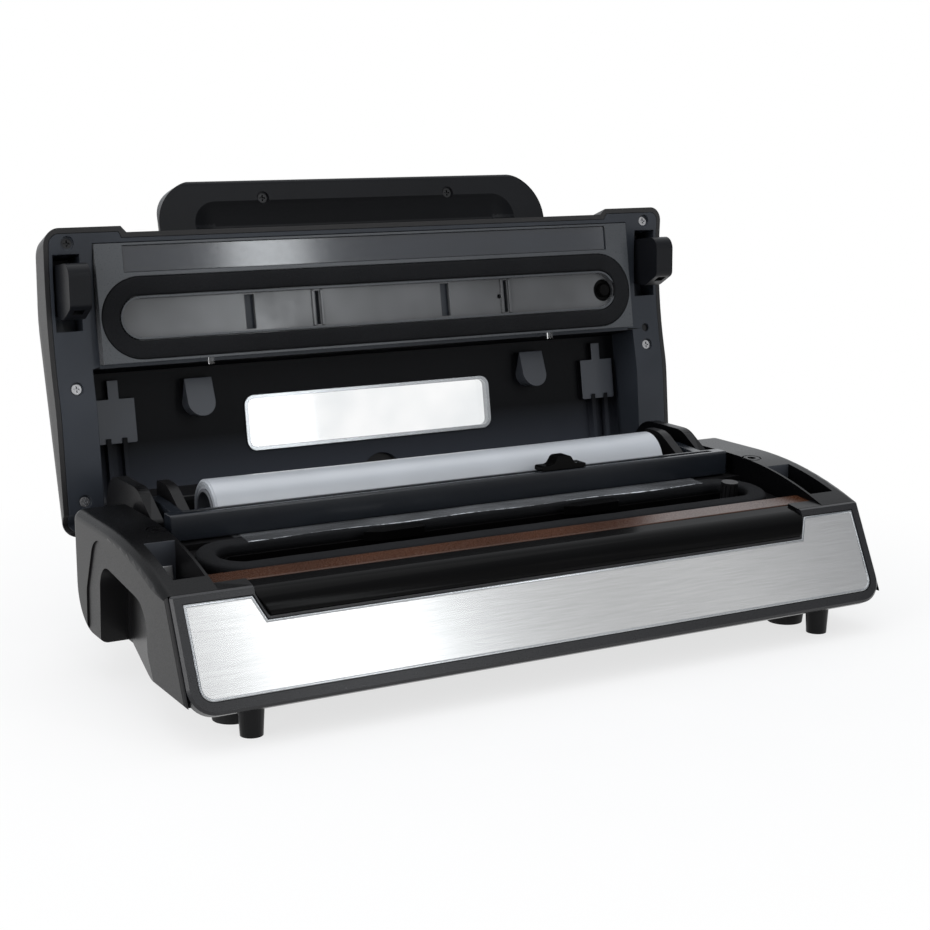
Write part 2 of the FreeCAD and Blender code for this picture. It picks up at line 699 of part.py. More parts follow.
def heater():
    half = STRIP_HALF
    top = -TOUCH_GAP
    bar = prism_x(-half, half, rectangle(0, STRIP_W, -DECK_DROP, top - TAPE_T - 0.3))
    groove = box(-half, half, STRIP_W / 2 - 2.0, STRIP_W / 2 + 2.0, top - TAPE_T - 0.6, 0)
    ribbon = box(-half + 4, half - 4, STRIP_W / 2 - 2.0, STRIP_W / 2 + 2.0, top - TAPE_T - 0.6, top - TAPE_T)
    tape = prism_x(-half, half, [(0, top - TAPE_T - 0.3), (0, top, 0.5), (STRIP_W, top, 0.5),
                                 (STRIP_W, top - TAPE_T - 0.3)])
    keep("heater_bar", deck(bar.cut(groove)))
    keep("heating_ribbon", deck(ribbon))
    keep("heat_tape", deck(tape.cut(ribbon)))


def lower_gasket():
    return deck(ring(GASKET_HALF, GASKET_FRONT, GASKET_DEPTH, GASKET_W, -DECK_DROP, -TOUCH_GAP))


def drip_tray():
    edge, depth = channel()
    floor = -DECK_DROP - CHANNEL_DEPTH
    outer = racetrack(CHANNEL_HALF - FACE_GAP, edge + FACE_GAP, depth - 2 * FACE_GAP, floor, -DECK_DROP + 0.6)
    inner = racetrack(CHANNEL_HALF - FACE_GAP - TRAY_T, edge + FACE_GAP + TRAY_T,
                      depth - 2 * FACE_GAP - 2 * TRAY_T, floor + TRAY_T, 5)
    port = rod_z(PORT_X, PORT_V, floor - 1, 5, PORT_R + FACE_GAP)
    return deck(cut(outer, [inner, port]))


def bag_stops():
    """Two leaf-shaped stops bridging the channel's rear edge."""
    edge, depth = channel()
    back = edge + depth
    leaves = []
    for x in (-59.0, 59.0):
        leaf = prism_z(-DECK_DROP + 0.6, -0.5, [(x - 17, back - 4.5), (x - 8, back - 7.5, 3.0),
                                                (x + 17, back - 7.0, 2.0), (x + 17, back - 0.4, 2.0),
                                                (x - 9, back - 0.4, 3.0)])
        leaves.append(deck(leaf))
    return leaves


def vacuum_port():
    floor = -DECK_DROP - CHANNEL_DEPTH
    post = rod_z(PORT_X, PORT_V, floor, PORT_RISE, PORT_R)
    neck = rod_z(PORT_X, PORT_V, floor - 8, floor, NECK_R)
    flutes = [rod_z(PORT_X + PORT_R * cosd(a), PORT_V + PORT_R * sind(a), -DECK_DROP, PORT_RISE - 1.2, 0.6)
              for a in range(0, 360, 30)]
    bore = rod_z(PORT_X, PORT_V, floor - 8, PORT_RISE - 2.0, 1.6)
    cross = rod_x(PORT_X - 10, PORT_X + 10, PORT_V, -DECK_DROP - 2.0, 1.4)
    return deck(cut(fused([post, neck]), [bore, cross] + flutes))


def film_roll():
    tube = rod_x(-ROLL_HALF, ROLL_HALF, ROLL_Y, ROLL_Z, ROLL_R)
    core = rod_x(-ROLL_HALF, ROLL_HALF, ROLL_Y, ROLL_Z, ROLL_CORE_R)
    hole = rod_x(-ROLL_HALF - 1, ROLL_HALF + 1, ROLL_Y, ROLL_Z, ROLL_CORE_R - ROLL_CORE_T)
    keep("film_roll", tube.cut(core))
    keep("roll_core", core.cut(hole))


def film_end():
    """Film drawn from under the roll, beneath the cutter bar and onto the deck."""
    back = GASKET_FRONT + GASKET_DEPTH
    over = on_deck(back + 0.6, SEAT_GAP)
    tip = on_deck(back - GASKET_W - 0.8, SEAT_GAP - 0.1)
    inside = on_deck(back - GASKET_W + 1.0, SEAT_GAP)
    lip = [(ROLL_Y - 19.6, LEDGE_Z + 0.1), (CUTTER_FRONT - 3.0, LEDGE_Z + 0.1), over, inside, tip]
    upper = [(y, z + FILM_T) for y, z in reversed(lip)]
    return prism_x(-ROLL_HALF + 1, ROLL_HALF - 1, lip + upper)


def cutter_bar():
    """Flip-up bar: a hollow rail between two arched arms on pins."""
    rear = CUTTER_FRONT + CUTTER_DEPTH
    bar = prism_x(-CUTTER_HALF, CUTTER_HALF, [(CUTTER_FRONT, CUTTER_BOTTOM), (CUTTER_FRONT, CUTTER_TOP, 1.0),
                                              (rear, CUTTER_TOP, 1.0), (rear, CUTTER_BOTTOM)])
    mid = CUTTER_FRONT + CUTTER_DEPTH / 2
    rail = box(-CUTTER_HALF + 8, CUTTER_HALF - 8, mid - RAIL_W / 2, mid + RAIL_W / 2, CUTTER_TOP - RAIL_DEPTH,
               CUTTER_TOP + 1)
    x0 = SLOT_IN + 1.0
    arm = prism_x(x0, x0 + CUTTER_ARM_T, [(rear - 1.0, 73.5), (rear - 1.0, 81.5, 2.0), (58.0, 83.5, 30.0),
                                          (CUTTER_PIVOT_Y + 4.5, CUTTER_PIVOT_Z + 8.5, 6.0),
                                          (CUTTER_PIVOT_Y + 5.5, CUTTER_PIVOT_Z - 6.0, 5.0),
                                          (CUTTER_PIVOT_Y - 8.0, CUTTER_PIVOT_Z - 5.0, 8.0)])
    bore = rod_x(x0 - 1, x0 + CUTTER_ARM_T + 1, CUTTER_PIVOT_Y, CUTTER_PIVOT_Z, CUTTER_PIN_R + PIN_PLAY)
    return cut(fused([bar] + both(arm)), [rail] + both(bore))


def cutter_slider():
    mid = CUTTER_FRONT + CUTTER_DEPTH / 2
    x0 = SLIDER_X - SLIDER_LENGTH / 2
    x1 = SLIDER_X + SLIDER_LENGTH / 2
    low = CUTTER_TOP + SEAT_GAP
    shelf = low + 2.6
    cap = prism_y(CUTTER_FRONT + 0.5, CUTTER_FRONT + CUTTER_DEPTH - 0.5,
                  [(x0, low), (x0, shelf, 1.2), (SLIDER_X - 7.0, shelf, 3.0),
                   (SLIDER_X - 4.0, low + 7.4, 3.0), (SLIDER_X + 4.0, low + 7.4, 3.0),
                   (SLIDER_X + 7.0, shelf, 3.0), (x1, shelf, 1.2), (x1, low)])
    foot = box(SLIDER_X - 9, SLIDER_X + 9, mid - RAIL_W / 2 + SEAT_GAP, mid + RAIL_W / 2 - SEAT_GAP,
               CUTTER_TOP - RAIL_DEPTH + SEAT_GAP + 1.2, low)
    slit = box(SLIDER_X - 6, SLIDER_X + 6, mid - 0.3, mid + 0.3, CUTTER_TOP - RAIL_DEPTH, low - 1.0)
    point = (SLIDER_X, CUTTER_TOP - RAIL_DEPTH + 0.4)
    blade = prism_y(mid - 0.3, mid + 0.3, [(SLIDER_X - 6, low - 1.0), (SLIDER_X - 6, low - 3.0), point,
                                           (SLIDER_X + 6, low - 3.0), (SLIDER_X + 6, low - 1.0)])
    keep("cutter_slider", cut(fused([cap, foot]), [slit]))
    keep("cutter_blade", blade)


def pins():
    hinge = rod_x(BAY_HALF + 1, HUMP_OUT - 1, HINGE_Y, HINGE_Z, HINGE_PIN_R)
    cutter = rod_x(BAY_HALF + 1, SLOT_OUT + 4, CUTTER_PIVOT_Y, CUTTER_PIVOT_Z, CUTTER_PIN_R)
    keep("hinge_pins", both(hinge))
    keep("cutter_pins", both(cutter))


def latch_keepers():
    """Spring steel catches on the rear wall of each socket."""
    low = SOCKET_FLOOR + 8.0
    top = low + 13.0
    bow = (SOCKET_REAR - 2.6, low + 6.5, 1.0)
    leaf = prism_x(SOCKET_IN + 2, SOCKET_OUT - 2, [(SOCKET_REAR, low), (SOCKET_REAR - 1.0, low), bow,
                                                   (SOCKET_REAR - 1.0, top), (SOCKET_REAR, top)])
    return both(leaf)


def works():
    """Pump, motor, valve, hose, transformer, board and inlet inside the base."""
    floor = BASE_BOTTOM + COVER_T
    motor = rod_x(PUMP_X, PUMP_X + MOTOR_LENGTH, PUMP_Y, PUMP_AXIS_Z, MOTOR_R)
    boss = rod_x(PUMP_X + MOTOR_LENGTH, PUMP_X + MOTOR_LENGTH + 4, PUMP_Y, PUMP_AXIS_Z, 5.0)
    keep("pump_motor", fused([motor, boss]))
    head = box(PUMP_X - PUMP_HEAD_LENGTH, PUMP_X, PUMP_Y - PUMP_HEAD_W / 2, PUMP_Y + PUMP_HEAD_W / 2,
               PUMP_AXIS_Z - 13.0, PUMP_AXIS_Z + 13.0)
    caps = [rod_x(PUMP_X - PUMP_HEAD_LENGTH - 5, PUMP_X - PUMP_HEAD_LENGTH, PUMP_Y + dy, PUMP_AXIS_Z, 6.0)
            for dy in (-7.5, 7.5)]
    nipple = Part.makeCylinder(NECK_R, 8.0, Vector(PUMP_X - 20, PUMP_Y - PUMP_HEAD_W / 2, PUMP_AXIS_Z),
                               Vector(0, -1, 0))
    keep("vacuum_pump", fused([head, nipple] + caps))
    saddle = box(PUMP_X + 8, PUMP_X + MOTOR_LENGTH - 8, PUMP_Y - 18, PUMP_Y + 18, floor, PUMP_AXIS_Z - 4.0)
    hollow = box(PUMP_X, PUMP_X + MOTOR_LENGTH, PUMP_Y - 18 + BRACKET_T, PUMP_Y + 18 - BRACKET_T,
                 floor + BRACKET_T, PUMP_AXIS_Z)
    cradle = box(PUMP_X + 8, PUMP_X + MOTOR_LENGTH - 8, PUMP_Y - 18, PUMP_Y + 18, PUMP_AXIS_Z - 8.0,
                 PUMP_AXIS_Z - 4.0)
    keep("pump_bracket", cut(fused([saddle.cut(hollow), cradle]), [motor]))
    core = box(TRANSFORMER_X - TRANSFORMER_L / 2, TRANSFORMER_X + TRANSFORMER_L / 2,
               TRANSFORMER_Y - TRANSFORMER_W / 2 + 8, TRANSFORMER_Y + TRANSFORMER_W / 2 - 8, floor,
               floor + TRANSFORMER_H)
    coil = box(TRANSFORMER_X - 17, TRANSFORMER_X + 17, TRANSFORMER_Y - TRANSFORMER_W / 2,
               TRANSFORMER_Y + TRANSFORMER_W / 2, floor + 5, floor + TRANSFORMER_H - 5)
    keep("transformer", fused([core, coil]))
    level = floor + BOARD_POST_H
    face = level + BOARD_T
    sizes = [(0, 0, BOARD_L, BOARD_W, level, face), (-38, 8, 20, 16, face, face + 14),
             (-8, -8, 16, 8, face, face + 3), (24, 8, 22, 12, face, face + 10),
             (45, -12, 10, 10, face, face + 8)]
    blocks = [box(BOARD_X + dx - lx / 2, BOARD_X + dx + lx / 2,
                  BOARD_Y + dy - ly / 2, BOARD_Y + dy + ly / 2, z0, z1)
              for dx, dy, lx, ly, z0, z1 in sizes]
    cans = [rod_z(BOARD_X + dx, BOARD_Y - 14, face, face + 13, 5.0) for dx in (-48, -34)]
    keep("control_board", fused(blocks + cans))
    corner, end = hose_corner()
    valve = box(VALVE_X - 11, VALVE_X + 11, corner.y - 9, corner.y + 9, floor, floor + 18)
    spout = rod_x(VALVE_X + 11, VALVE_X + 19, corner.y, corner.z, NECK_R)
    keep("release_valve", fused([valve, spout]))
    keep("vacuum_hose", hose())
    shell = box(INLET_X - 12.0, INLET_X + 12.0, REAR_Y - 16.0, REAR_Y, INLET_Z - 9.0, INLET_Z + 9.0)
    well = box(INLET_X - 9.0, INLET_X + 9.0, REAR_Y - 12.0, REAR_Y + 1, INLET_Z - 5.0, INLET_Z + 5.0)
    blades = [Part.makeCylinder(1.2, 10.0, Vector(INLET_X + dx, REAR_Y - 12.5, INLET_Z), Vector(0, 1, 0))
              for dx in (-4.0, 4.0)]
    keep("power_inlet", fused([shell.cut(well)] + blades))


def hose_corner():
    """Where the hose's level run meets the line of the port's neck."""
    neck = on_deck(PORT_V, -DECK_DROP - CHANNEL_DEPTH - 7.0)
    level = BASE_BOTTOM + COVER_T + 9.0
    slide = (neck[1] - level) * math.tan(math.radians(SEAL_TILT))
    return Vector(PORT_X, neck[0] + slide, level), Vector(PORT_X, neck[0], neck[1])


def hose():
    """Hose from the valve's spout to the port's neck, two straight runs and an arc."""
    corner, end = hose_corner()
    start = Vector(VALVE_X + 12.5, corner.y, corner.z)
    radius = 11.0
    before = (start - corner).normalize()
    after = (end - corner).normalize()
    half = before.getAngle(after) / 2
    reach = radius / math.tan(half)
    middle = corner + (before + after).normalize() * (radius / math.sin(half) - radius)
    a = corner + before * reach
    b = corner + after * reach
    path = Part.Wire([Part.LineSegment(start, a).toShape(), Part.Arc(a, middle, b).toShape(),
                      Part.LineSegment(b, end).toShape()])
    tubes = [path.makePipeShell([Part.Wire(Part.makeCircle(r, start, Vector(1, 0, 0)))], True, True)
             for r in (HOSE_R, NECK_R)]
    return tubes[0].cut(tubes[1])


def small_base_parts():
    screws = [cross_screw(x, y, BASE_BOTTOM - 0.6, 9.0) for x, y, top in boss_places()]
    keep("base_screws", screws)
    sensor = sensor_hole().common(box(0, HALF, 0, DEEP, 0, CHEEK_TOP - 1.8))
    keep("lid_sensors", both(sensor))


# The lid, drawn closed
RIM_Z = CHEEK_TOP + MOVE_GAP
RIM_FRONT = (CHEEK_FRONT_TOP[0] - 2.8, CHEEK_FRONT_TOP[1] + MOVE_GAP - 0.4)


def run_on(start, through, z):
    """(y, z) where the line from start through a point reaches a height."""
    share = (z - start[1]) / (through[1] - start[1])
    return start[0] + share * (through[0] - start[0]), z


ROOF_LINE = [run_on(LID_FRONT_TOP, RIM_FRONT, 40.0), LID_FRONT_TOP + (12.0,), LID_BREAK + (60.0,),
             LID_REAR + (LID_REAR_R,), run_on(LID_REAR, LID_LIP, 40.0)]
UNDER_LINE = [LID_LIP, (LID_LIP[0] - LID_WALL, LID_LIP[1] - 0.6), (LID_LIP[0] - 7.0, LID_LIP[1] + 3.0),
              (RIM_TAIL, RIM_Z + RIM_RISE), (RIM_BEND, RIM_Z, 80.0), (CROWN_Y, RIM_Z, CROWN_R), RIM_FRONT]


def lid_form(shrink):
    """The closed lid's outer form, set in by a distance and run out below the rim."""
    half = LID_HALF - shrink
    top = LID_CROWN_TOP - shrink
    radius = LID_CROWN_R - shrink
    crown = prism_y(-HALF, HALF, [(-half, 30.0), (half, 30.0), (half, top, radius), (-half, top, radius)])
    solid = prism_x(-half, half, inset(ROOF_LINE, shrink)).common(crown).Solids[0]
    sides = [(e, e.BoundBox) for e in solid.Edges if e.BoundBox.XMin * e.BoundBox.XMax > 0]
    crest = [e for e, b in sides if b.YLength > 0.5 and b.ZLength > 0.1 and b.ZMax > 45]
    solid = solid.makeFillet(LID_EDGE_R - shrink, crest)
    ear = EAR_INNER + shrink
    step = RIM_FRONT[0] + EAR_STEP + shrink
    notch = prism_z(0, 150, [(-ear, -HALF), (-ear, RIM_FRONT[0]), (-ear + EAR_STEP, step),
                             (ear - EAR_STEP, step), (ear, RIM_FRONT[0]), (ear, -HALF)])
    return solid.cut(notch)


def lid_solid(shrink):
    """The lid's form above its rim line."""
    above = prism_x(-HALF, HALF, UNDER_LINE + [(RIM_FRONT[0] - 20, RIM_FRONT[1]), (RIM_FRONT[0] - 20, 150.0),
                                               (LID_LIP[0] + 20, 150.0), (LID_LIP[0] + 20, LID_LIP[1])])
    return lid_form(shrink).common(above)


def control_seat(drop):
    return lid_slope(prism_z(-drop, 10, rectangle(-CONTROL_HALF, CONTROL_HALF, CONTROL_MID - CONTROL_W / 2,
                                                  CONTROL_MID + CONTROL_W / 2, 5.0)))


def button_holes(radius):
    return [lid_slope(rod_z(i * BUTTON_PITCH, CONTROL_MID, -20, 20, radius)) for i in (-1, 0, 1)]


def lens_holes():
    return [lid_slope(rod_z(i * BUTTON_PITCH + 14.0, CONTROL_MID, -20, 20, 1.6)) for i in (-1, 0, 1)]


def window_seat(grow, z0, z1):
    front_edge = (WINDOW_FRONT - LID_BREAK[0]) / cosd(WINDOW_TILT)
    return lid_roof(prism_z(z0, z1, rectangle(-WINDOW_HALF - grow, WINDOW_HALF + grow, front_edge - grow,
                                              front_edge + WINDOW_DEPTH + grow, WINDOW_R + grow)))


def lid_cover():
    low = -BOARD_DROP - LID_WALL
    posts = [lid_slope(rod_z(sx * (CONTROL_HALF - 6), CONTROL_MID + sy * 7.0, low, -LID_WALL, 2.5))
             for sx in (1, -1) for sy in (1, -1)]
    tools = [lid_form(LID_WALL), control_seat(CONTROL_SEAT), window_seat(FACE_GAP, -10, 10)]
    tools += button_holes(BUTTON_R + BUTTON_PLAY) + lens_holes()
    return fused([cut(lid_solid(0.0), tools)] + posts)


def roll_cavity():
    """Room over the roll, with its roof parallel to the cover."""
    room = prism_x(-RIM_INNER, RIM_INNER, inset(ROOF_LINE, LID_WALL + FACE_GAP + FRAME_WALL))
    return room.common(box(-HALF, HALF, CAVITY_FRONT, DEEP * 3, 0, 150))


def plate_room():
    half = PLATE_HALF + 0.4
    back = PLATE_FRONT + PLATE_DEPTH + 4.0
    return deck(box(-half, half, PLATE_FRONT - 0.4, back, -30, PLATE_RISE + PLATE_T))


def latch_pocket():
    half = HOOK_W / 2 + LATCH_POCKET_PLAY
    return box(HOOK_X - half, HOOK_X + half, LATCH_Y - 17.5, LATCH_Y + 21.5, 40.0, LID_FRONT_TOP[1] + 2.5)


def lid_screw_places():
    """(x, y) of the rim screws on the right; the head sits just inside the rim face."""
    return [(RIM_SCREW_X, -50.0), (RIM_SCREW_X, 24.5), (RIM_SCREW_X + 0.5, 83.0)]


def rim_z(y):
    """Height of the rim face, closed, at a place along it."""
    if y >= RIM_BEND:
        return RIM_Z + RIM_RISE * (y - RIM_BEND) / (RIM_TAIL - RIM_BEND)
    run = math.atan2(RIM_Z - RIM_FRONT[1], CROWN_Y - RIM_FRONT[0])
    reach = CROWN_R * math.tan(run / 2)
    start = CROWN_Y + reach
    if y >= start:
        return RIM_Z
    end = CROWN_Y - reach * math.cos(run)
    if y <= end:
        return RIM_FRONT[1] + (y - RIM_FRONT[0]) * math.tan(run)
    return RIM_Z - CROWN_R + math.sqrt(CROWN_R ** 2 - (y - start) ** 2)


def hinge_arm():
    x0 = SLOT_IN + MOVE_GAP
    x1 = SLOT_OUT - MOVE_GAP
    eye = rod_x(x0, x1, HINGE_Y, HINGE_Z, ARM_EYE_R)
    web = prism_x(x0, x1, [(HINGE_Y - 7.5, HINGE_Z), (HINGE_Y - 9.5, 108.0), (HINGE_Y + 2.5, 106.0),
                           (HINGE_Y + 6.5, HINGE_Z + 2.0)])
    return fused([eye, web])


def roof_block(x, width, y0, length, height, round_rear):
    """Boss hanging from the cavity's roof, flat in front and optionally half round behind."""
    top = -LID_WALL - FACE_GAP
    low = top - FRAME_WALL - height
    start = (y0 - LID_BREAK[0]) / cosd(WINDOW_TILT)
    radius = width / 2 - 0.01 if round_rear else 1.0
    plan = [(x - width / 2, start), (x + width / 2, start), (x + width / 2, start + length, radius),
            (x - width / 2, start + length, radius)]
    return lid_roof(prism_z(low, top, plan))


def bump(x):
    """Half-round stop on the cavity's roof, deeper towards its round end."""
    block = roof_block(x, BUMP_W, BUMP_FRONT, BUMP_LENGTH, BUMP_REAR_H, True)
    start = (BUMP_FRONT - LID_BREAK[0]) / cosd(WINDOW_TILT)
    low = -LID_WALL - FACE_GAP - FRAME_WALL
    face = [(start, 0.0), (start, low - BUMP_FRONT_H), (start + BUMP_LENGTH, low - BUMP_REAR_H),
            (start + BUMP_LENGTH, 0.0)]
    return block.common(lid_roof(prism_x(x - BUMP_W, x + BUMP_W, face)))


def arm_ribs():
    """Curved ribs on the cavity's rear wall, from each end pad down to the hinge arm."""
    depth = LID_WALL + FACE_GAP + FRAME_WALL
    ribs = []
    for x in (END_PAD_X - 5.5, END_PAD_X + 3.5):
        outer = prism_x(x, x + ARM_RIB_T, inset(ROOF_LINE, depth - 0.5))
        inner = prism_x(x - 1, x + ARM_RIB_T + 1, inset(ROOF_LINE, depth + ARM_RIB_H))
        zone = box(0, HALF, END_PAD_FRONT + END_PAD_LENGTH - 2.0, DEEP * 3, LID_LIP[1] + 3.0, 150)
        ribs += both(outer.cut(inner).common(zone))
    return ribs


def magnet_place(low):
    """Round seat in the right rim over the lid sensor."""
    return rod_z(RIM_SCREW_X, MAGNET_Y, low, rim_z(MAGNET_Y) + 3.2, MAGNET_R)


def lid_frame():
    solid = lid_solid(LID_WALL + FACE_GAP)
    lift = PLATE_RISE + PLATE_T + WALL
    void = prism_x(-RIM_INNER, RIM_INNER, [on_deck(-1.0, lift), on_deck(57.0, lift),
                                           (CAVITY_FRONT - WALL, 130.0), (on_deck(-1.0, 30.0)[0], 130.0)])
    body = cut(solid, [void, roll_cavity(), plate_room()])
    blocks = [bump(BUMP_X), bump(-BUMP_X)]
    for x in (END_PAD_X, -END_PAD_X):
        blocks.append(roof_block(x, END_PAD_W, END_PAD_FRONT, END_PAD_LENGTH, END_PAD_H, False))
        blocks.append(roof_block(x, NECK_W, END_PAD_FRONT - NECK_LENGTH, NECK_LENGTH + 1, END_PAD_H, False))
    inside = lid_form(LID_WALL + FACE_GAP)
    keepers = [b.common(inside) for b in blocks + both(hinge_arm())]
    body = fused([body] + keepers + arm_ribs())
    bore = rod_x(SLOT_IN, SLOT_OUT, HINGE_Y, HINGE_Z, HINGE_PIN_R + PIN_PLAY)
    shaft = rod_x(-HOOK_X - 9, HOOK_X + 9, LATCH_Y, LATCH_Z, LATCH_SHAFT_R + PIN_PLAY)
    tools = [shaft, window_seat(WINDOW_FLANGE + FACE_GAP, -40, 10)] + both(bore) + both(latch_pocket())
    for x, y in lid_screw_places():
        z = rim_z(y)
        tools += both(screw(x, y, z + SCREW_SINK, 9.0))
        tools += both(rod_z(x, y, z - 5, z + SCREW_SINK, SCREW_WELL_R))
    tools.append(magnet_place(60.0))
    tools.append(rod_z(THUMB_X, LID_REAR[0] - LID_REAR_R + 6.0, 90.0, 130.0, THUMB_R))
    return cut(body, tools)


def chamber_plate():
    low = PLATE_RISE
    slab = box(-PLATE_HALF, PLATE_HALF, PLATE_FRONT, PLATE_FRONT + PLATE_DEPTH, low, low + PLATE_T)
    slot = box(-SEAL_SLOT_HALF, SEAL_SLOT_HALF, SEAL_SLOT_FRONT, SEAL_SLOT_FRONT + SEAL_SLOT_W, low - 1,
               low + SEAL_SLOT_DEPTH)
    groove = ring(GASKET_HALF, GASKET_FRONT, GASKET_DEPTH, GASKET_W, low - 5, low + 3.0)
    edge = GASKET_FRONT + GASKET_W + 1.2
    depth = GASKET_DEPTH - 2 * GASKET_W - 2.4
    recess = racetrack(GASKET_HALF - GASKET_W - 1.2, edge, depth, low - 5, low + PANEL_RECESS)
    valve = rod_z(LID_VALVE_X, PORT_V, low - 5, low + PLATE_T + 1, PORT_R + 2.0)
    slits = [box(x - half, x + half, edge + 1.0, edge + depth - 1.0, low, low + PLATE_T + 1)
             for x, half in ((-RIB_FAR, 2.8), (RIB_NEAR, 2.8), (-RIB_NEAR, 1.1), (RIB_FAR, 1.1))]
    ribs = []
    for x in (-RIB_NEAR, RIB_FAR):
        ribs += [box(x + dx - 0.8, x + dx + 0.8, edge + 0.5, edge + depth - 0.5, low + PANEL_RECESS - 1.0,
                     low + PANEL_RECESS + 0.2) for dx in (-2.6, 2.6)]
    pinhole = rod_z(76.5, edge + depth / 2, low, low + PLATE_T + 1, 1.3)
    return deck(fused([cut(slab, [slot, groove, recess, valve, pinhole] + slits)] + ribs))


def upper_gasket():
    low = PLATE_RISE
    return deck(ring(GASKET_HALF - FACE_GAP, GASKET_FRONT + FACE_GAP, GASKET_DEPTH - 2 * FACE_GAP,
                     GASKET_W - 2 * FACE_GAP, low - GASKET_PROUD, low + 3.0))


def seal_pad():
    low = PLATE_RISE + SEAL_SLOT_DEPTH
    return deck(box(-SEAL_SLOT_HALF + FACE_GAP, SEAL_SLOT_HALF - FACE_GAP, SEAL_SLOT_FRONT + FACE_GAP,
                    SEAL_SLOT_FRONT + SEAL_SLOT_W - FACE_GAP, low - PAD_T, low))


def chamber_valve():
    """Dome of the release valve in its round well above the port."""
    top = PLATE_RISE + PLATE_T
    dome = cone_z(LID_VALVE_X, PORT_V, PORT_RISE + MOVE_GAP, top - 1.5, 3.4, 4.2)
    foot = rod_z(LID_VALVE_X, PORT_V, top - 1.5, top, PORT_R + 2.0 - FACE_GAP)
    return deck(fused([dome, foot]))


def film_tabs():
    """Small clear tabs at the plate's rear edge."""
    back = PLATE_FRONT + PLATE_DEPTH
    tab = box(107.2 - 1.6, 107.2 + 1.6, back, back + 3.6, PLATE_RISE + 0.4, PLATE_RISE + 2.0)
    return both(deck(tab))


def window():
    pane = window_seat(0.0, -WINDOW_T - 0.4, -0.4)
    flange = window_seat(WINDOW_FLANGE, -LID_WALL - FACE_GAP - FRAME_WALL, -LID_WALL)
    hole = window_seat(-1.1, -30, 5)
    low = -LID_WALL - FACE_GAP - FRAME_WALL - 1.2
    lip = window_seat(WINDOW_FLANGE, low, -LID_WALL - FACE_GAP - FRAME_WALL)
    sleeve = window_seat(0.0, -LID_WALL, -WINDOW_T - 0.4)
    keep_lid("window_pane", pane)
    keep_lid("window_bezel", cut(fused([flange, lip, sleeve]), [hole]))


def handle():
    """Grip plate overhanging the lid's front, as an upper and a lower half."""
    section = [(HANDLE_REAR, HANDLE_TOP - 2.0), (HANDLE_REAR - 8.0, HANDLE_TOP, 12.0),
               (HANDLE_FRONT + 2.0, HANDLE_TOP - 1.0, 6.0), (HANDLE_FRONT, HANDLE_UNDER + HANDLE_LIFT, 3.0),
               (RIM_FRONT[0], HANDLE_UNDER), (HANDLE_REAR, HANDLE_UNDER)]
    plan = [(-HANDLE_HALF, HANDLE_FRONT, HANDLE_CORNER_R), (HANDLE_HALF, HANDLE_FRONT, HANDLE_CORNER_R),
            (HANDLE_HALF, HANDLE_REAR, 8.0), (-HANDLE_HALF, HANDLE_REAR, 8.0)]
    crown = prism_y(HANDLE_FRONT - 5, HANDLE_REAR + 5, [(-HANDLE_HALF, 60.0), (HANDLE_HALF, 60.0),
                                                        (HANDLE_HALF, HANDLE_TOP + 0.2, HANDLE_EDGE_R),
                                                        (-HANDLE_HALF, HANDLE_TOP + 0.2, HANDLE_EDGE_R)])
    block = prism_x(-HANDLE_HALF, HANDLE_HALF, section).common(prism_z(60, 130, plan)).common(crown)
    block = block.cut(lid_form(0.0))
    seam = HANDLE_UNDER + HANDLE_SPLIT
    below = prism_x(-HALF, HALF, [(HANDLE_FRONT - 5, 80.0), (HANDLE_FRONT - 5, seam + HANDLE_LIFT),
                                  (RIM_FRONT[0] + 0.2, seam), (RIM_FRONT[0] + 0.2, 80.0)])
    lower = block.common(below)
    upper = block.cut(below)
    tilt = math.degrees(math.atan2(-HANDLE_LIFT, RIM_FRONT[0] - HANDLE_FRONT))
    sink = GRIP_DEPTH - GRIP_R
    ends = [Part.makeSphere(GRIP_R, Vector(x, GRIP_Y, sink)) for x in (GRIP_HALF, -GRIP_HALF)]
    scoop = fused([rod_x(-GRIP_HALF, GRIP_HALF, GRIP_Y, sink, GRIP_R)] + ends)
    grip = on_slope(scoop, RIM_FRONT[0], HANDLE_UNDER, tilt)
    lift = HANDLE_UNDER + HANDLE_LIFT * (RIM_FRONT[0] - HANDLE_SCREW_Y) / (RIM_FRONT[0] - HANDLE_FRONT)
    seat = lift + SCREW_SINK
    holes = both(screw(HANDLE_SCREW_X, HANDLE_SCREW_Y, seat, 8.0))
    wells = both(rod_z(HANDLE_SCREW_X, HANDLE_SCREW_Y, 60.0, seat, SCREW_WELL_R))
    lower = cut(lower, [grip] + holes + wells)
    upper = cut(upper, holes)
    keep_lid("handle_upper", upper)
    keep_lid("handle_lower", lower)
    keep_lid("handle_screws", both(cross_screw(HANDLE_SCREW_X, HANDLE_SCREW_Y, seat, 8.0)))


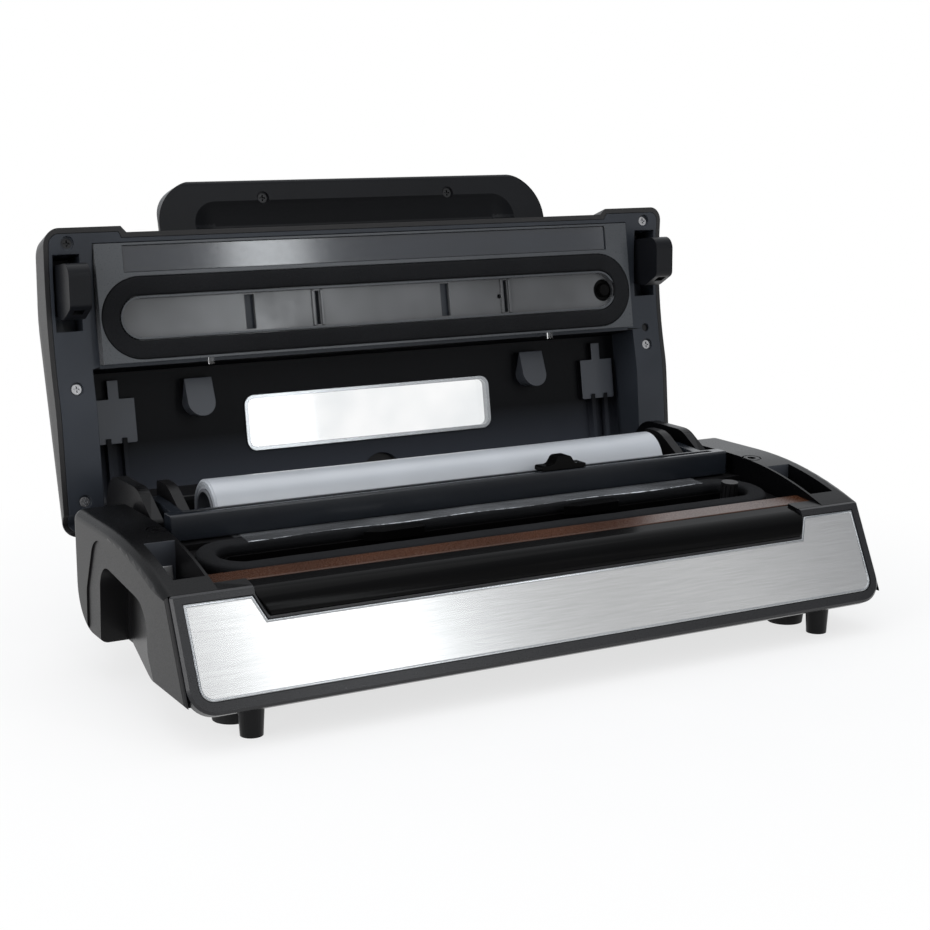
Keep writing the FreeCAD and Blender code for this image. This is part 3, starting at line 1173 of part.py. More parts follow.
def controls():
    face = CONTROL_T - CONTROL_SEAT
    panel = control_seat(CONTROL_SEAT).common(lid_slope(box(-HALF, HALF, 0, 90, -5, face)))
    panel = cut(panel, button_holes(BUTTON_R + BUTTON_PLAY) + lens_holes())
    keep_lid("control_panel", panel)
    collar = -LID_WALL - SEAT_GAP
    names = ("vacuum_button", "seal_button", "stop_button")
    for i, name in zip((-1, 0, 1), names):
        x = i * BUTTON_PITCH
        cap = rod_z(x, CONTROL_MID, collar, face + BUTTON_PROUD, BUTTON_R)
        rim = [e for e in cap.Edges if e.BoundBox.ZMin > face]
        cap = cap.makeFillet(0.8, rim)
        flange = rod_z(x, CONTROL_MID, collar - BUTTON_FLANGE, collar, BUTTON_R + 1.6)
        keep_lid(name, lid_slope(fused([cap, flange])))
    lenses = [lid_slope(rod_z(i * BUTTON_PITCH + 14.0, CONTROL_MID, -BOARD_DROP - LID_WALL, face + 0.3, 1.6))
              for i in (-1, 0, 1)]
    keep_lid("indicator_lenses", lenses)
    under = -BOARD_DROP - LID_WALL
    board = box(-CONTROL_HALF, CONTROL_HALF, CONTROL_MID - 10.0, CONTROL_MID + 10.0, under - BOARD_T, under)
    switches = [box(i * BUTTON_PITCH - 3, i * BUTTON_PITCH + 3, CONTROL_MID - 3, CONTROL_MID + 3, under,
                    collar - BUTTON_FLANGE - BUTTON_TRAVEL - SEAT_GAP) for i in (-1, 0, 1)]
    keep_lid("button_board", lid_slope(fused([board] + switches)))


def latch():
    """Two hooks on one shaft, turned together by a torsion spring."""
    x0 = HOOK_X - HOOK_W / 2
    profile = [(-9.8, -36.3, 7.0), (13.0, -30.7, 4.0), (16.8, -16.5, 4.0), (10.0, 5.0, 5.0),
               (-10.0, 5.0, 5.0), (-12.5, -12.5, 8.0)]
    hook = prism_x(x0, x0 + HOOK_W, [(LATCH_Y + y, LATCH_Z + z, r) for y, z, r in profile])
    barb = [(15.0, -20.5), (9.0, -20.5), (9.0, -26.5), (15.0, -28.5)]
    pocket_slot = prism_x(x0 + 3.0, x0 + HOOK_W - 3.0, [(LATCH_Y + y, LATCH_Z + z) for y, z in barb])
    shaft = rod_x(-HOOK_X - HOOK_W / 2 - 1, HOOK_X + HOOK_W / 2 + 1, LATCH_Y, LATCH_Z, LATCH_SHAFT_R)
    hooks = [h.cut(shaft) for h in both(hook.cut(pocket_slot))]
    keep_lid("latch_hooks", hooks)
    keep_lid("latch_shaft", shaft)
    coil_r = LATCH_SHAFT_R + 0.5 + SPRING_WIRE_R
    coil = Part.makeHelix(SPRING_PITCH, SPRING_LENGTH, coil_r)
    section = Part.Wire(Part.makeCircle(SPRING_WIRE_R, Vector(coil_r, 0, 0), Vector(0, 1, 0.1)))
    spring = coil.makePipeShell([section], True, True)
    spring.rotate(Vector(0, 0, 0), Vector(0, 1, 0), 90)
    spring.translate(Vector(INNER - SPRING_INSET, LATCH_Y, LATCH_Z))
    keep_lid("latch_spring", spring)


def small_lid_parts():
    screws = []
    for x, y in lid_screw_places():
        screws += both(cross_screw(x, y, rim_z(y) + SCREW_SINK, 9.0))
    keep_lid("lid_screws", screws)
    keep_lid("lid_magnets", magnet_place(rim_z(MAGNET_Y) + MAGNET_SINK))


def build():
    keep("base_housing", base_housing())
    keep("bottom_cover", bottom_cover())
    keep("front_bezel", front_bezel())
    keep("front_panel", front_panel())
    keep("front_apron", apron())
    feet()
    heater()
    keep("lower_gasket", lower_gasket())
    keep("drip_tray", drip_tray())
    keep("bag_stops", bag_stops())
    keep("vacuum_port", vacuum_port())
    film_roll()
    keep("film_end", film_end())
    keep("cutter_bar", cutter_bar())
    cutter_slider()
    pins()
    keep("latch_keepers", latch_keepers())
    works()
    small_base_parts()
    keep_lid("lid_cover", lid_cover())
    keep_lid("lid_frame", lid_frame())
    keep_lid("chamber_plate", chamber_plate())
    keep_lid("upper_gasket", upper_gasket())
    keep_lid("seal_pad", seal_pad())
    keep_lid("chamber_valve", chamber_valve())
    keep_lid("film_tabs", film_tabs())
    window()
    handle()
    controls()
    latch()
    small_lid_parts()


build()
os.makedirs("parts", exist_ok=True)
for name, shape in NODES.items():
    shape.exportStep("parts/" + name + ".step")
whole = Part.makeCompound(list(NODES.values())).optimalBoundingBox()
print("box", round(whole.XMin, 2), round(whole.XMax, 2), round(whole.YMin, 2), round(whole.YMax, 2),
      round(whole.ZMin, 2), round(whole.ZMax, 2))
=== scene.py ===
import bmesh
import bpy
import json
import math
from mathutils import Matrix, Vector


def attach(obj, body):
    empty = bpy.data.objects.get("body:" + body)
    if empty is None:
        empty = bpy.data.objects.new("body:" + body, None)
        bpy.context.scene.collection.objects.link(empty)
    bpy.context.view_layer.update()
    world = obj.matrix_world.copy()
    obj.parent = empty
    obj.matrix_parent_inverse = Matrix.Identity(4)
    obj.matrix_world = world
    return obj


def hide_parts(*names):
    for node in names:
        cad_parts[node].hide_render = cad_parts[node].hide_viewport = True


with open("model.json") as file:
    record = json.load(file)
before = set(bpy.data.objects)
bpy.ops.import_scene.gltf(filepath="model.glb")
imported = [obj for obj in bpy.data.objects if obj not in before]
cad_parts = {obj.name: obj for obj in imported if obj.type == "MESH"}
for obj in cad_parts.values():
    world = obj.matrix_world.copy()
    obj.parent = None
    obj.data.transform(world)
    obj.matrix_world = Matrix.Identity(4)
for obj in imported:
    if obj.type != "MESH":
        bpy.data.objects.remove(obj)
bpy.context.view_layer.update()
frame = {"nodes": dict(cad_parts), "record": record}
nodes = frame["nodes"]

# The frame's datum, in millimetres: middle of the depth, seal plane and lid hinge
ORIGIN_Y = 43.58
SEAL_Y, SEAL_Z, SEAL_TILT = -45.6, 67.2, math.radians(5.2)
HINGE_Y, HINGE_Z, OPEN = 92.4, 70.5, math.radians(104.7)


def place(x, y, z):
    """Scene point of a datum point."""
    return Vector((x, y - ORIGIN_Y, z)) / 1000


def on_deck(x, back, up):
    """Datum point from the seal plane's own axes."""
    y = SEAL_Y + back * math.cos(SEAL_TILT) - up * math.sin(SEAL_TILT)
    return x, y, SEAL_Z + back * math.sin(SEAL_TILT) + up * math.cos(SEAL_TILT)


def on_deck_height(y, z):
    """Height over the seal plane."""
    return (z - SEAL_Z) * math.cos(SEAL_TILT) - (y - SEAL_Y) * math.sin(SEAL_TILT)


def opened(x, y, z):
    """Datum point of the open lid, from the same point on the closed one."""
    dy, dz = y - HINGE_Y, z - HINGE_Z
    return (x, HINGE_Y + dy * math.cos(OPEN) + dz * math.sin(OPEN),
            HINGE_Z - dy * math.sin(OPEN) + dz * math.cos(OPEN))


# Material nodes


def add(tree, kind, **settings):
    """New node of a kind, with its settings."""
    node = tree.nodes.new("ShaderNode" + kind)
    for name, value in settings.items():
        setattr(node, name, value)
    return node


def link(tree, source, target):
    tree.links.new(source, target)


def grain(tree, scale, stretch=(1, 1, 1), detail=3.0):
    """Noise in the object's own axes, stretched for brushed surfaces."""
    mapping = add(tree, "Mapping")
    mapping.inputs["Scale"].default_value = stretch
    noise = add(tree, "TexNoise")
    noise.inputs["Scale"].default_value = scale
    noise.inputs["Detail"].default_value = detail
    link(tree, add(tree, "TexCoord").outputs["Object"], mapping.inputs["Vector"])
    link(tree, mapping.outputs["Vector"], noise.inputs["Vector"])
    return noise.outputs["Fac"]


def remap(tree, value, low, high, start=0.3, end=0.7):
    """Value from low to high while the input goes from start to end."""
    node = add(tree, "MapRange")
    for name, number in (("From Min", start), ("From Max", end), ("To Min", low), ("To Max", high)):
        node.inputs[name].default_value = number
    link(tree, value, node.inputs["Value"])
    return node.outputs["Result"]


def blend(tree, share, first, second):
    """Mix two colours, each a colour or a socket."""
    node = add(tree, "MixRGB")
    for socket, value in ((node.inputs[1], first), (node.inputs[2], second)):
        if isinstance(value, bpy.types.NodeSocket):
            link(tree, value, socket)
        else:
            socket.default_value = (*value, 1)
    link(tree, share, node.inputs[0])
    return node.outputs[0]


def dot(tree, vector, axis):
    """Share of a vector along an axis."""
    node = add(tree, "VectorMath", operation="DOT_PRODUCT")
    node.inputs[1].default_value = axis
    link(tree, vector, node.inputs[0])
    return node.outputs["Value"]


def along(tree, axis):
    """Distance along an axis of the object, in metres."""
    return dot(tree, add(tree, "TexCoord").outputs["Object"], axis)


def relief(tree, height, strength, depth):
    """Bump node for a height."""
    node = add(tree, "Bump")
    node.inputs["Strength"].default_value = strength
    node.inputs["Distance"].default_value = depth
    link(tree, height, node.inputs["Height"])
    return node


def surface(name, colour, rough, scale=1600.0, stretch=(1, 1, 1), vary=0.14, bump=0.06, depth=0.0001,
            edge=0.0006, tone=(22.0, (1, 1, 1)), shine=0.5, **sockets):
    """Moulded, brushed or cast surface: colour follows a broad grain, roughness and bump a fine one."""
    material = bpy.data.materials.new(name)
    material.use_nodes = True
    tree = material.node_tree
    shader = tree.nodes["Principled BSDF"]
    fine = grain(tree, scale, stretch)
    broad = remap(tree, grain(tree, *tone, 2.0), 0.0, 1.0)
    dark = [c * (1 - vary) for c in colour]
    light = [min(1.0, c * (1 + vary)) for c in colour]
    link(tree, blend(tree, broad, dark, light), shader.inputs["Base Color"])
    spread = remap(tree, fine, rough * (1 - vary), min(1.0, rough * (1 + vary)))
    link(tree, spread, shader.inputs["Roughness"])
    raised_grain = relief(tree, fine, bump, depth)
    if edge:
        rounded = add(tree, "Bevel", samples=4)
        rounded.inputs["Radius"].default_value = edge
        link(tree, rounded.outputs["Normal"], raised_grain.inputs["Normal"])
    link(tree, raised_grain.outputs["Normal"], shader.inputs["Normal"])
    shader.inputs["Specular IOR Level"].default_value = shine
    for socket, value in sockets.items():
        shader.inputs[socket.replace("_", " ")].default_value = value
    return material


# Black plastics of the base and the lid
housing = surface("housing_satin", (0.0075, 0.0072, 0.0077), 0.36, bump=0.08, edge=0.0, shine=0.18)
# Darker, glossier copy of the housing: painted shade on the cheek tops and inner cheek walls
cheek_painted_shade = surface("cheek_painted_shade_gloss", (0.0022, 0.0022, 0.0026), 0.3, bump=0.03, edge=0.0, shine=0.12)
lid_shell = surface("lid_shell_satin", (0.018, 0.0174, 0.018), 0.4, shine=0.3)
# Darker copy of the lid's inner plastic: painted shade in the lid's cavity and in the handle's scoop
cavity_painted_shade = surface("lid_cavity_painted_shade_matte", (0.0036, 0.0039, 0.005), 0.46, shine=0.1)
# Lighter copy of the lid's inner plastic: painted sheen on the lid's bumps and end pads and on the base's
# socket walls
painted_sheen = surface("lid_painted_sheen_satin", (0.056, 0.061, 0.072), 0.36, bump=0.05, shine=0.4)
lid_inner = surface("lid_inner_satin", (0.03, 0.0345, 0.043), 0.34, bump=0.05, shine=0.25)
plate = surface("plate_satin", (0.05, 0.0545, 0.0605), 0.3, bump=0.05)
# Lighter, glossier copy of the plate: painted sheen on its sunk panel
recess_painted_sheen = surface("plate_recess_painted_sheen_gloss", (0.09, 0.0915, 0.095), 0.2, scale=60.0, vary=0.3, bump=0.02,
                 shine=0.6)
handle = surface("handle_satin", (0.0062, 0.0066, 0.0082), 0.36, shine=0.16)
gloss = surface("gloss_black", (0.0027, 0.0026, 0.0027), 0.14, bump=0.008, shine=0.05)
cutter = surface("cutter_gloss", (0.012, 0.0145, 0.019), 0.2, bump=0.015, edge=0.0012, shine=0.4)
bezel = surface("bezel_black", (0.0095, 0.0095, 0.0112), 0.3, bump=0.0, edge=0.0, shine=0.4)
ribbed = surface("ribbed_plastic", (0.0065, 0.0065, 0.007), 0.34, scale=1100.0, stretch=(1, 1, 0.004),
                 bump=0.5, depth=0.0004, edge=0.0, shine=0.15)

# Metals
steel = surface("brushed_steel", (0.6, 0.6, 0.597), 0.25, scale=1000.0, stretch=(0.006, 1, 1), vary=0.05,
                bump=0.0, edge=0.0, tone=(1500.0, (0.03, 1, 1)), Metallic=1.0, Anisotropic=0.55)
chrome = surface("screw_chrome", (0.4, 0.4, 0.41), 0.2, bump=0.02, edge=0.0002, Metallic=1.0)
dark_screw = surface("screw_black", (0.02, 0.02, 0.021), 0.35, bump=0.02, edge=0.0002, Metallic=0.7)
metal = surface("plain_metal", (0.5, 0.5, 0.51), 0.34, Metallic=1.0)
silver = surface("silver_trim", (0.42, 0.43, 0.44), 0.22, bump=0.02, edge=0.0003, Metallic=0.9)
iron = surface("iron_core", (0.15, 0.15, 0.16), 0.5, Metallic=0.5)

# Tape, foam, rubber, film and small parts
tape = surface("heat_tape", (0.056, 0.021, 0.01), 0.26, scale=2400.0, bump=0.3, vary=0.22, edge=0.0,
               shine=0.35)
foam = surface("foam", (0.012, 0.0123, 0.0135), 0.95, scale=1500.0, bump=0.9, depth=0.0005, edge=0.0,
               shine=0.12)
rubber = surface("rubber", (0.008, 0.008, 0.0082), 0.62, shine=0.25)
pad = surface("seal_rubber", (0.012, 0.016, 0.024), 0.1, scale=400.0, bump=0.02, shine=1.0)
roll_film = surface("roll_film", (0.48, 0.5, 0.53), 0.3, scale=160.0, stretch=(0.1, 1, 1), vary=0.06,
                    bump=0.1, edge=0.0, shine=1.0)
core = surface("core_plastic", (0.16, 0.165, 0.18), 0.45)
clear = surface("clear_plastic", (0.94, 0.97, 0.985), 0.04, bump=0.004, edge=0.0, Transmission_Weight=1.0,
                IOR=1.45)
circuit = surface("circuit_board", (0.02, 0.12, 0.055), 0.4)
button = surface("button_grey", (0.16, 0.16, 0.17), 0.35)
hose = surface("hose_clear", (0.45, 0.45, 0.43), 0.4)

# Low in the cavity the matte wall is painted paler, a painted sheen, over these heights in metres
SHEEN_LOW, SHEEN_HIGH = 0.076, 0.099
SHEEN_WALL = (0.048, 0.053, 0.066)
tree = cavity_painted_shade.node_tree
wall_colour = tree.nodes["Principled BSDF"].inputs["Base Color"]
sheen_share = remap(tree, along(tree, (0, 0, 1)), 1.0, 0.0, SHEEN_LOW, SHEEN_HIGH)
link(tree, blend(tree, sheen_share, wall_colour.links[0].from_socket, SHEEN_WALL), wall_colour)

# Brushing runs along the width, so highlights spread up and down the slope
tree = steel.node_tree
brushing = add(tree, "Tangent", direction_type="RADIAL", axis="X")
link(tree, brushing.outputs["Tangent"], tree.nodes["Principled BSDF"].inputs["Tangent"])

# Each node's material, by its slot in the record
LOOKS = {
    "housing": housing, "bezel": bezel, "steel_panel": steel, "apron": gloss, "foot_plastic": handle,
    "foot_rubber": rubber, "heater_metal": metal, "ribbon": metal, "heat_tape": tape, "foam": foam,
    "tray": gloss, "small_plastic": gloss, "film": roll_film, "core": core, "cutter": cutter,
    "blade": metal, "pin_steel": metal, "pump_metal": metal, "motor_metal": metal, "iron_core": iron,
    "circuit": circuit, "hose_rubber": hose, "screw_metal": chrome, "lid_shell": lid_shell,
    "lid_inner": lid_inner, "plate": plate, "seal_rubber": pad, "clear": clear, "silver_trim": silver,
    "handle": handle, "control": gloss, "button": button, "magnet": dark_screw,
}
for part in frame["record"]["subparts"]:
    piece = nodes[part["node"]]
    piece.data.materials.clear()
    piece.data.materials.append(LOOKS[part["material_slot"]])

# Black handle screws, black hooks, and fine upright ribs on the peg feet and the port post
OWN_LOOKS = {"handle_screws": dark_screw, "latch_hooks": handle, "front_feet": ribbed, "vacuum_port": ribbed}
for node, material in OWN_LOOKS.items():
    nodes[node].data.materials[0] = material

# Places of painted shade and painted sheen, in datum millimetres, those of the lid as it lies when closed
RIM_SIDE, CAVITY_FRONT, ROLL_WALL = 170.9, 14.0, 60.0
BUMPS, END_PADS, RAISED_DEPTH = (98.5, 115.5), (143.0, 167.0), (20.5, 53.0)
RAISED_Y, RAISED_Z, RAISED_RISE = 25.16, 103.0, 0.0983
PLATE_SUNK = 4.0
SCREW_FRONT = -40.0
SCOOP_FRONT, SCOOP_SIDE, HANDLE_SLOPE = -77.5, 101.0, 0.097
SOCKET_X, SOCKET_Y, SOCKET_Z = (174.5, 189.0), (-43.0, -2.0), (47.0, 79.0)
CHEEK_LOW, CHEEK_WALL, CHEEK_TOP = 45.0, 150.0, 168.0
# How far a face's normal leans for it to count as tilted, upright, upward or off the handle's slope
TILTED, UPRIGHT, UPWARD, OFF_SLOPE = 0.15, 0.5, 0.45, 0.03


def within(value, limits):
    return limits[0] < value < limits[1]


def cavity_painted_shade_faces(x, y, z, normal):
    return abs(x) < RIM_SIDE and y > CAVITY_FRONT


def roll_wall_sheen_faces(x, y, z, normal):
    return abs(x) < RIM_SIDE and y > ROLL_WALL and normal.y < -TILTED


def raised_sheen_faces(x, y, z, normal):
    inside = z < RAISED_Z + RAISED_RISE * (y - RAISED_Y)
    return (within(abs(x), BUMPS) or within(abs(x), END_PADS)) and within(y, RAISED_DEPTH) and inside


def sunk_faces(x, y, z, normal):
    return on_deck_height(y, z) > PLATE_SUNK


def socket_sheen_faces(x, y, z, normal):
    return within(abs(x), SOCKET_X) and within(y, SOCKET_Y) and within(z, SOCKET_Z) and normal.y < -UPRIGHT


def cheek_shade_faces(x, y, z, normal):
    top = abs(x) > CHEEK_TOP and normal.z > UPWARD
    inner = abs(x) > CHEEK_WALL and normal.x * x < -UPRIGHT * abs(x)
    return z > CHEEK_LOW and (top or inner)


def front_left_screw_shade(x, y, z, normal):
    return x < 0 and y < SCREW_FRONT


def scoop_shade_faces(x, y, z, normal):
    return abs(normal.y + HANDLE_SLOPE) > OFF_SLOPE and y > SCOOP_FRONT and abs(x) < SCOOP_SIDE


def paint(node, material, wanted, lid=True):
    """Another material on the wanted faces of a node, a lid node taken as it lies when closed."""
    mesh = nodes[node].data
    mesh.materials.append(material)
    slot = len(mesh.materials) - 1
    turn = Matrix.Rotation(OPEN if lid else 0.0, 3, "X")
    hinge = place(0, HINGE_Y, HINGE_Z)
    for polygon in mesh.polygons:
        x, y, z = turn @ (nodes[node].matrix_world @ polygon.center - hinge) * 1000
        if wanted(x, y + HINGE_Y, z + HINGE_Z, turn @ polygon.normal):
            polygon.material_index = slot


# Painted shade over the lid's cavity
paint("lid_frame", cavity_painted_shade, cavity_painted_shade_faces)
# The lower roll wall keeps the lid's lighter inner plastic, left out of the painted shade as a painted sheen
paint("lid_frame", lid_inner, roll_wall_sheen_faces)
# Painted sheen on the bumps and end pads
paint("lid_frame", painted_sheen, raised_sheen_faces)
# Painted sheen on the plate's sunk panel
paint("chamber_plate", recess_painted_sheen, sunk_faces)
# Painted sheen on the socket walls
paint("base_housing", painted_sheen, socket_sheen_faces, lid=False)
# Painted shade on the cheek tops and inner cheek walls
paint("base_housing", cheek_painted_shade, cheek_shade_faces, lid=False)
# Painted shade: the front left lid screw, chrome like the others, drawn in the black screw material
paint("lid_screws", dark_screw, front_left_screw_shade)
# Painted shade in the handle's scoop
paint("handle_lower", cavity_painted_shade, scoop_shade_faces)


# Meshes of the soft and wound pieces


def mesh_piece(name, vertices, faces, material):
    """Smooth-shaded piece from vertices and faces."""
    mesh = bpy.data.meshes.new(name)
    mesh.from_pydata([tuple(v) for v in vertices], [], faces)
    mesh.materials.append(material)
    for polygon in mesh.polygons:
        polygon.use_smooth = True
    mesh.update()
    piece = bpy.data.objects.new(name, mesh)
    bpy.context.collection.objects.link(piece)
    return piece


def lattice(rows, columns, close_rows=False, close_columns=False):
    """Quads over a grid of vertices listed row by row."""
    faces = []
    for i in range(rows if close_rows else rows - 1):
        for j in range(columns if close_columns else columns - 1):
            a, b = i * columns, (i + 1) % rows * columns
            k = (j + 1) % columns
            faces.append((a + j, b + j, b + k, a + k))
    return faces


def racetrack(half, middle, radius, steps=16, run=28):
    """(x, v, outward x, outward v) round a racetrack line."""
    line = []
    straight = half - radius
    for side, start in ((1, -90), (-1, 90)):
        for i in range(steps):
            angle = math.radians(start + 180 * i / steps)
            line.append((side * straight + radius * math.cos(angle), middle + radius * math.sin(angle),
                         math.cos(angle), math.sin(angle)))
        for i in range(run):
            line.append((side * straight * (1 - 2 * i / run), middle + side * radius, 0.0, side))
    return line


# Foam gaskets: crowned strips that swell a little along their length
CROWN_POINTS, CROWN_SIDE, CROWN_TOP, CROWN_SHARE = 14, 0.45, 0.55, 0.55
FOAM_CHAMFER = 0.3
SWELL, SWELL_PACE, SWELL_DRIFT = 0.012, 1.9, 0.7


def gasket(name, half, front, depth, width, low, high, node, lid):
    """Closed-cell foam ring from its half width, front edge, depth, strip width and heights on the deck."""
    section = []
    for i in range(CROWN_POINTS):
        angle = math.pi * i / (CROWN_POINTS - 1)
        share = math.cos(angle)
        bulge = math.copysign(abs(share) ** CROWN_SIDE, share)
        drop = CROWN_SHARE * (1 - abs(math.sin(angle)) ** CROWN_TOP)
        section.append((bulge * width / 2, high - (high - low) * drop))
    section += [(FOAM_CHAMFER - width / 2, low), (width / 2 - FOAM_CHAMFER, low)]
    vertices = []
    ring = racetrack(half - width / 2, front + depth / 2, depth / 2 - width / 2)
    for n, (x, v, nx, nv) in enumerate(ring):
        swell = 1 - SWELL * (1 + math.sin(n * SWELL_PACE) * math.cos(n * SWELL_DRIFT))
        for across, up in section:
            point = on_deck(x + nx * across * swell, v + nv * across * swell, low + (up - low) * swell)
            vertices.append(place(*(opened(*point) if lid else point)))
    faces = lattice(len(ring), len(section), True, True)
    if high < low:
        faces = [face[::-1] for face in faces]
    piece = mesh_piece(name, vertices, faces, foam)
    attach(piece, "lid" if lid else "base")
    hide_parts(node)


gasket("foam_ring_lower", half=166.0, front=14.4, depth=44.0, width=10.3, low=-6.0, high=-0.25,
       node="lower_gasket", lid=False)
gasket("foam_ring_upper", half=165.8, front=14.6, depth=43.6, width=9.9, low=5.0, high=1.25,
       node="upper_gasket", lid=True)

# Steel panel: its border is pressed into a fine polished bead, swept once round the front face
BEAD_WIDTH, BEAD_HEIGHT, BEAD_POINTS = 0.0015, 0.0005, 10
SAME_PLANE, TURNED_AWAY, MITRE_LIMIT = 0.95, 0.5, 0.5
WELD = 1e-6


def border_line(sheet, front):
    """Corners of a sheet's front face, in order round its border."""
    following = {}
    for face in sheet.faces:
        for loop in face.loops:
            beside = [other.normal.dot(front) for other in loop.edge.link_faces if other is not face]
            if face.normal.dot(front) > SAME_PLANE and beside and beside[0] < TURNED_AWAY:
                following[loop.vert] = loop.link_loop_next.vert
    border = [next(iter(following))]
    while following[border[-1]] is not border[0]:
        border.append(following[border[-1]])
    return [corner.co.copy() for corner in border]


sheet = bmesh.new()
sheet.from_mesh(nodes["front_panel"].data)
bmesh.ops.remove_doubles(sheet, verts=sheet.verts, dist=WELD)
front = max(sheet.faces, key=lambda face: face.calc_area() * (face.normal.y < 0)).normal.copy()
border = border_line(sheet, front)
sheet.free()
vertices = []
for before, corner, after in zip(border[-1:] + border, border, border[1:] + border[:1]):
    step = (corner - before).normalized()
    run = (step + (after - corner).normalized()).normalized()
    inward = front.cross(run) / max(MITRE_LIMIT, run.dot(step))
    for k in range(BEAD_POINTS):
        angle = 2 * math.pi * k / BEAD_POINTS
        across = BEAD_WIDTH / 2 * (1 + math.cos(angle))
        vertices.append(corner + inward * across - front * BEAD_HEIGHT * math.sin(angle))
bead = mesh_piece("panel_bead", vertices, lattice(len(border), BEAD_POINTS, True, True), silver)
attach(bead, "base")

# Film roll: a wound band with uneven layer edges and the step where the outer turn ends
ROLL_Y, ROLL_Z = 56.0, 76.5
ROLL_HALF, MIDDLE_HALF = 136.2, 60.0
INNER_TURN, OUTER_TURN, MIDDLE_TURN = 11.15, 15.75, 15.9
TURNS, LAYER = 8, 0.5
UNEVEN, UNEVEN_PACE = (0.45, 0.25), (2.4, 5.3)
ROLL_STEPS, STEP_ANGLE, STEP_HEIGHT = 72, -200, 0.3
BORE, WALL = 11.0, 5.0
SHARP = math.radians(28)


def wound_section():
    """(x, radius) round the band's section, each layer's edge a little out of line."""
    section = []
    for side in (-1, 1):
        edges = []
        for i in range(TURNS + 1):
            radius = INNER_TURN + (OUTER_TURN - INNER_TURN) * i / TURNS
            shift = UNEVEN[0] * math.sin(i * UNEVEN_PACE[0] + side) + UNEVEN[1] * math.sin(i * UNEVEN_PACE[1])
            x = side * (ROLL_HALF + shift)
            edges += [(x, radius), (x, radius + LAYER)]
        section += edges if side < 0 else edges[::-1]
    middle = len(section) // 2
    return section[:middle] + [(-MIDDLE_HALF, MIDDLE_TURN), (MIDDLE_HALF, MIDDLE_TURN)] + section[middle:]


section = wound_section()
columns = len(section)
vertices = []
for k in range(ROLL_STEPS + 1):
    angle = math.radians(STEP_ANGLE + 360 * k / ROLL_STEPS)
    shrink = STEP_HEIGHT * k / ROLL_STEPS
    for x, radius in section:
        r = radius - shrink * (radius - BORE) / WALL
        vertices.append(place(x, ROLL_Y + r * math.cos(angle), ROLL_Z + r * math.sin(angle)))
faces = lattice(ROLL_STEPS + 1, columns, False, True)
last = ROLL_STEPS * columns
faces += [(last + j, j, (j + 1) % columns, last + (j + 1) % columns) for j in range(columns)]
roll = mesh_piece("wound_film", vertices, faces, roll_film)
roll.data.set_sharp_from_angle(angle=SHARP)
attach(roll, "roll")
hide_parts("film_roll")

# Film end: a thin clear sheet over the ledge, its cut edge on the deck
LEDGE = [(36.4, 70.12), (30.0, 70.1), (24.0, 70.1), (19.0, 70.1)]
DECK_ROWS, DECK_GAP = (59.0, 55.6, 52.2, 48.9), 0.35
CUT_EDGE = on_deck(0, 47.1, 0.25)
FILM_HALF, FILM_COLUMNS = 136.0, 90
RIPPLE, RIPPLE_PACE, RIPPLE_SHIFT = 0.28, 0.083, 0.35
SWAY, SWAY_PACE, FILM_GAP = 0.4, 0.05, 0.05
CUT_WIDTH = 0.0012


def clear_film():
    """Clear embossed film, with painted glints along its cut edge."""
    material = bpy.data.materials.new("film_clear")
    material.use_nodes = True
    tree = material.node_tree
    shader = tree.nodes["Principled BSDF"]
    shader.inputs["Base Color"].default_value = (0.75, 0.78, 0.82, 1)
    shader.inputs["Specular IOR Level"].default_value = 0.8
    emboss = grain(tree, 700.0, (1, 1, 1), 1.0)
    link(tree, remap(tree, emboss, 0.12, 0.3), shader.inputs["Roughness"])
    link(tree, relief(tree, emboss, 0.3, 0.0002).outputs["Normal"], shader.inputs["Normal"])
    cut_y = place(*CUT_EDGE).y
    cut = remap(tree, along(tree, (0, 1, 0)), 1.0, 0.0, cut_y, cut_y + CUT_WIDTH)
    # Painted glints: noise that makes the cut edge opaque and pale in spots
    painted_glint = remap(tree, grain(tree, 130.0, (1, 0.1, 0.1), 4.0), 0.05, 1.0, 0.4, 0.62)
    veil = remap(tree, grain(tree, 60.0, (0.4, 1, 1)), 0.05, 0.16)
    cover = add(tree, "Math", operation="MULTIPLY_ADD", use_clamp=True)
    for value, socket in zip((cut, painted_glint, veil), cover.inputs):
        link(tree, value, socket)
    link(tree, cover.outputs[0], shader.inputs["Alpha"])
    return material


path = LEDGE + [on_deck(0, back, DECK_GAP)[1:] for back in DECK_ROWS] + [CUT_EDGE[1:]]
vertices = []
for row, (y, z) in enumerate(path):
    loose = max(0.0, row + 1 - len(LEDGE)) / (len(path) - len(LEDGE))
    for j in range(FILM_COLUMNS + 1):
        x = -FILM_HALF + 2 * FILM_HALF * j / FILM_COLUMNS
        lift = loose * RIPPLE * (1 + math.sin(x * RIPPLE_PACE + row * RIPPLE_SHIFT)) + FILM_GAP
        vertices.append(place(x, y + loose * SWAY * math.sin(x * SWAY_PACE), z + lift))
tail = mesh_piece("film_tail", vertices, lattice(len(path), FILM_COLUMNS + 1), clear_film())
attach(tail, "base")
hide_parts("film_end")

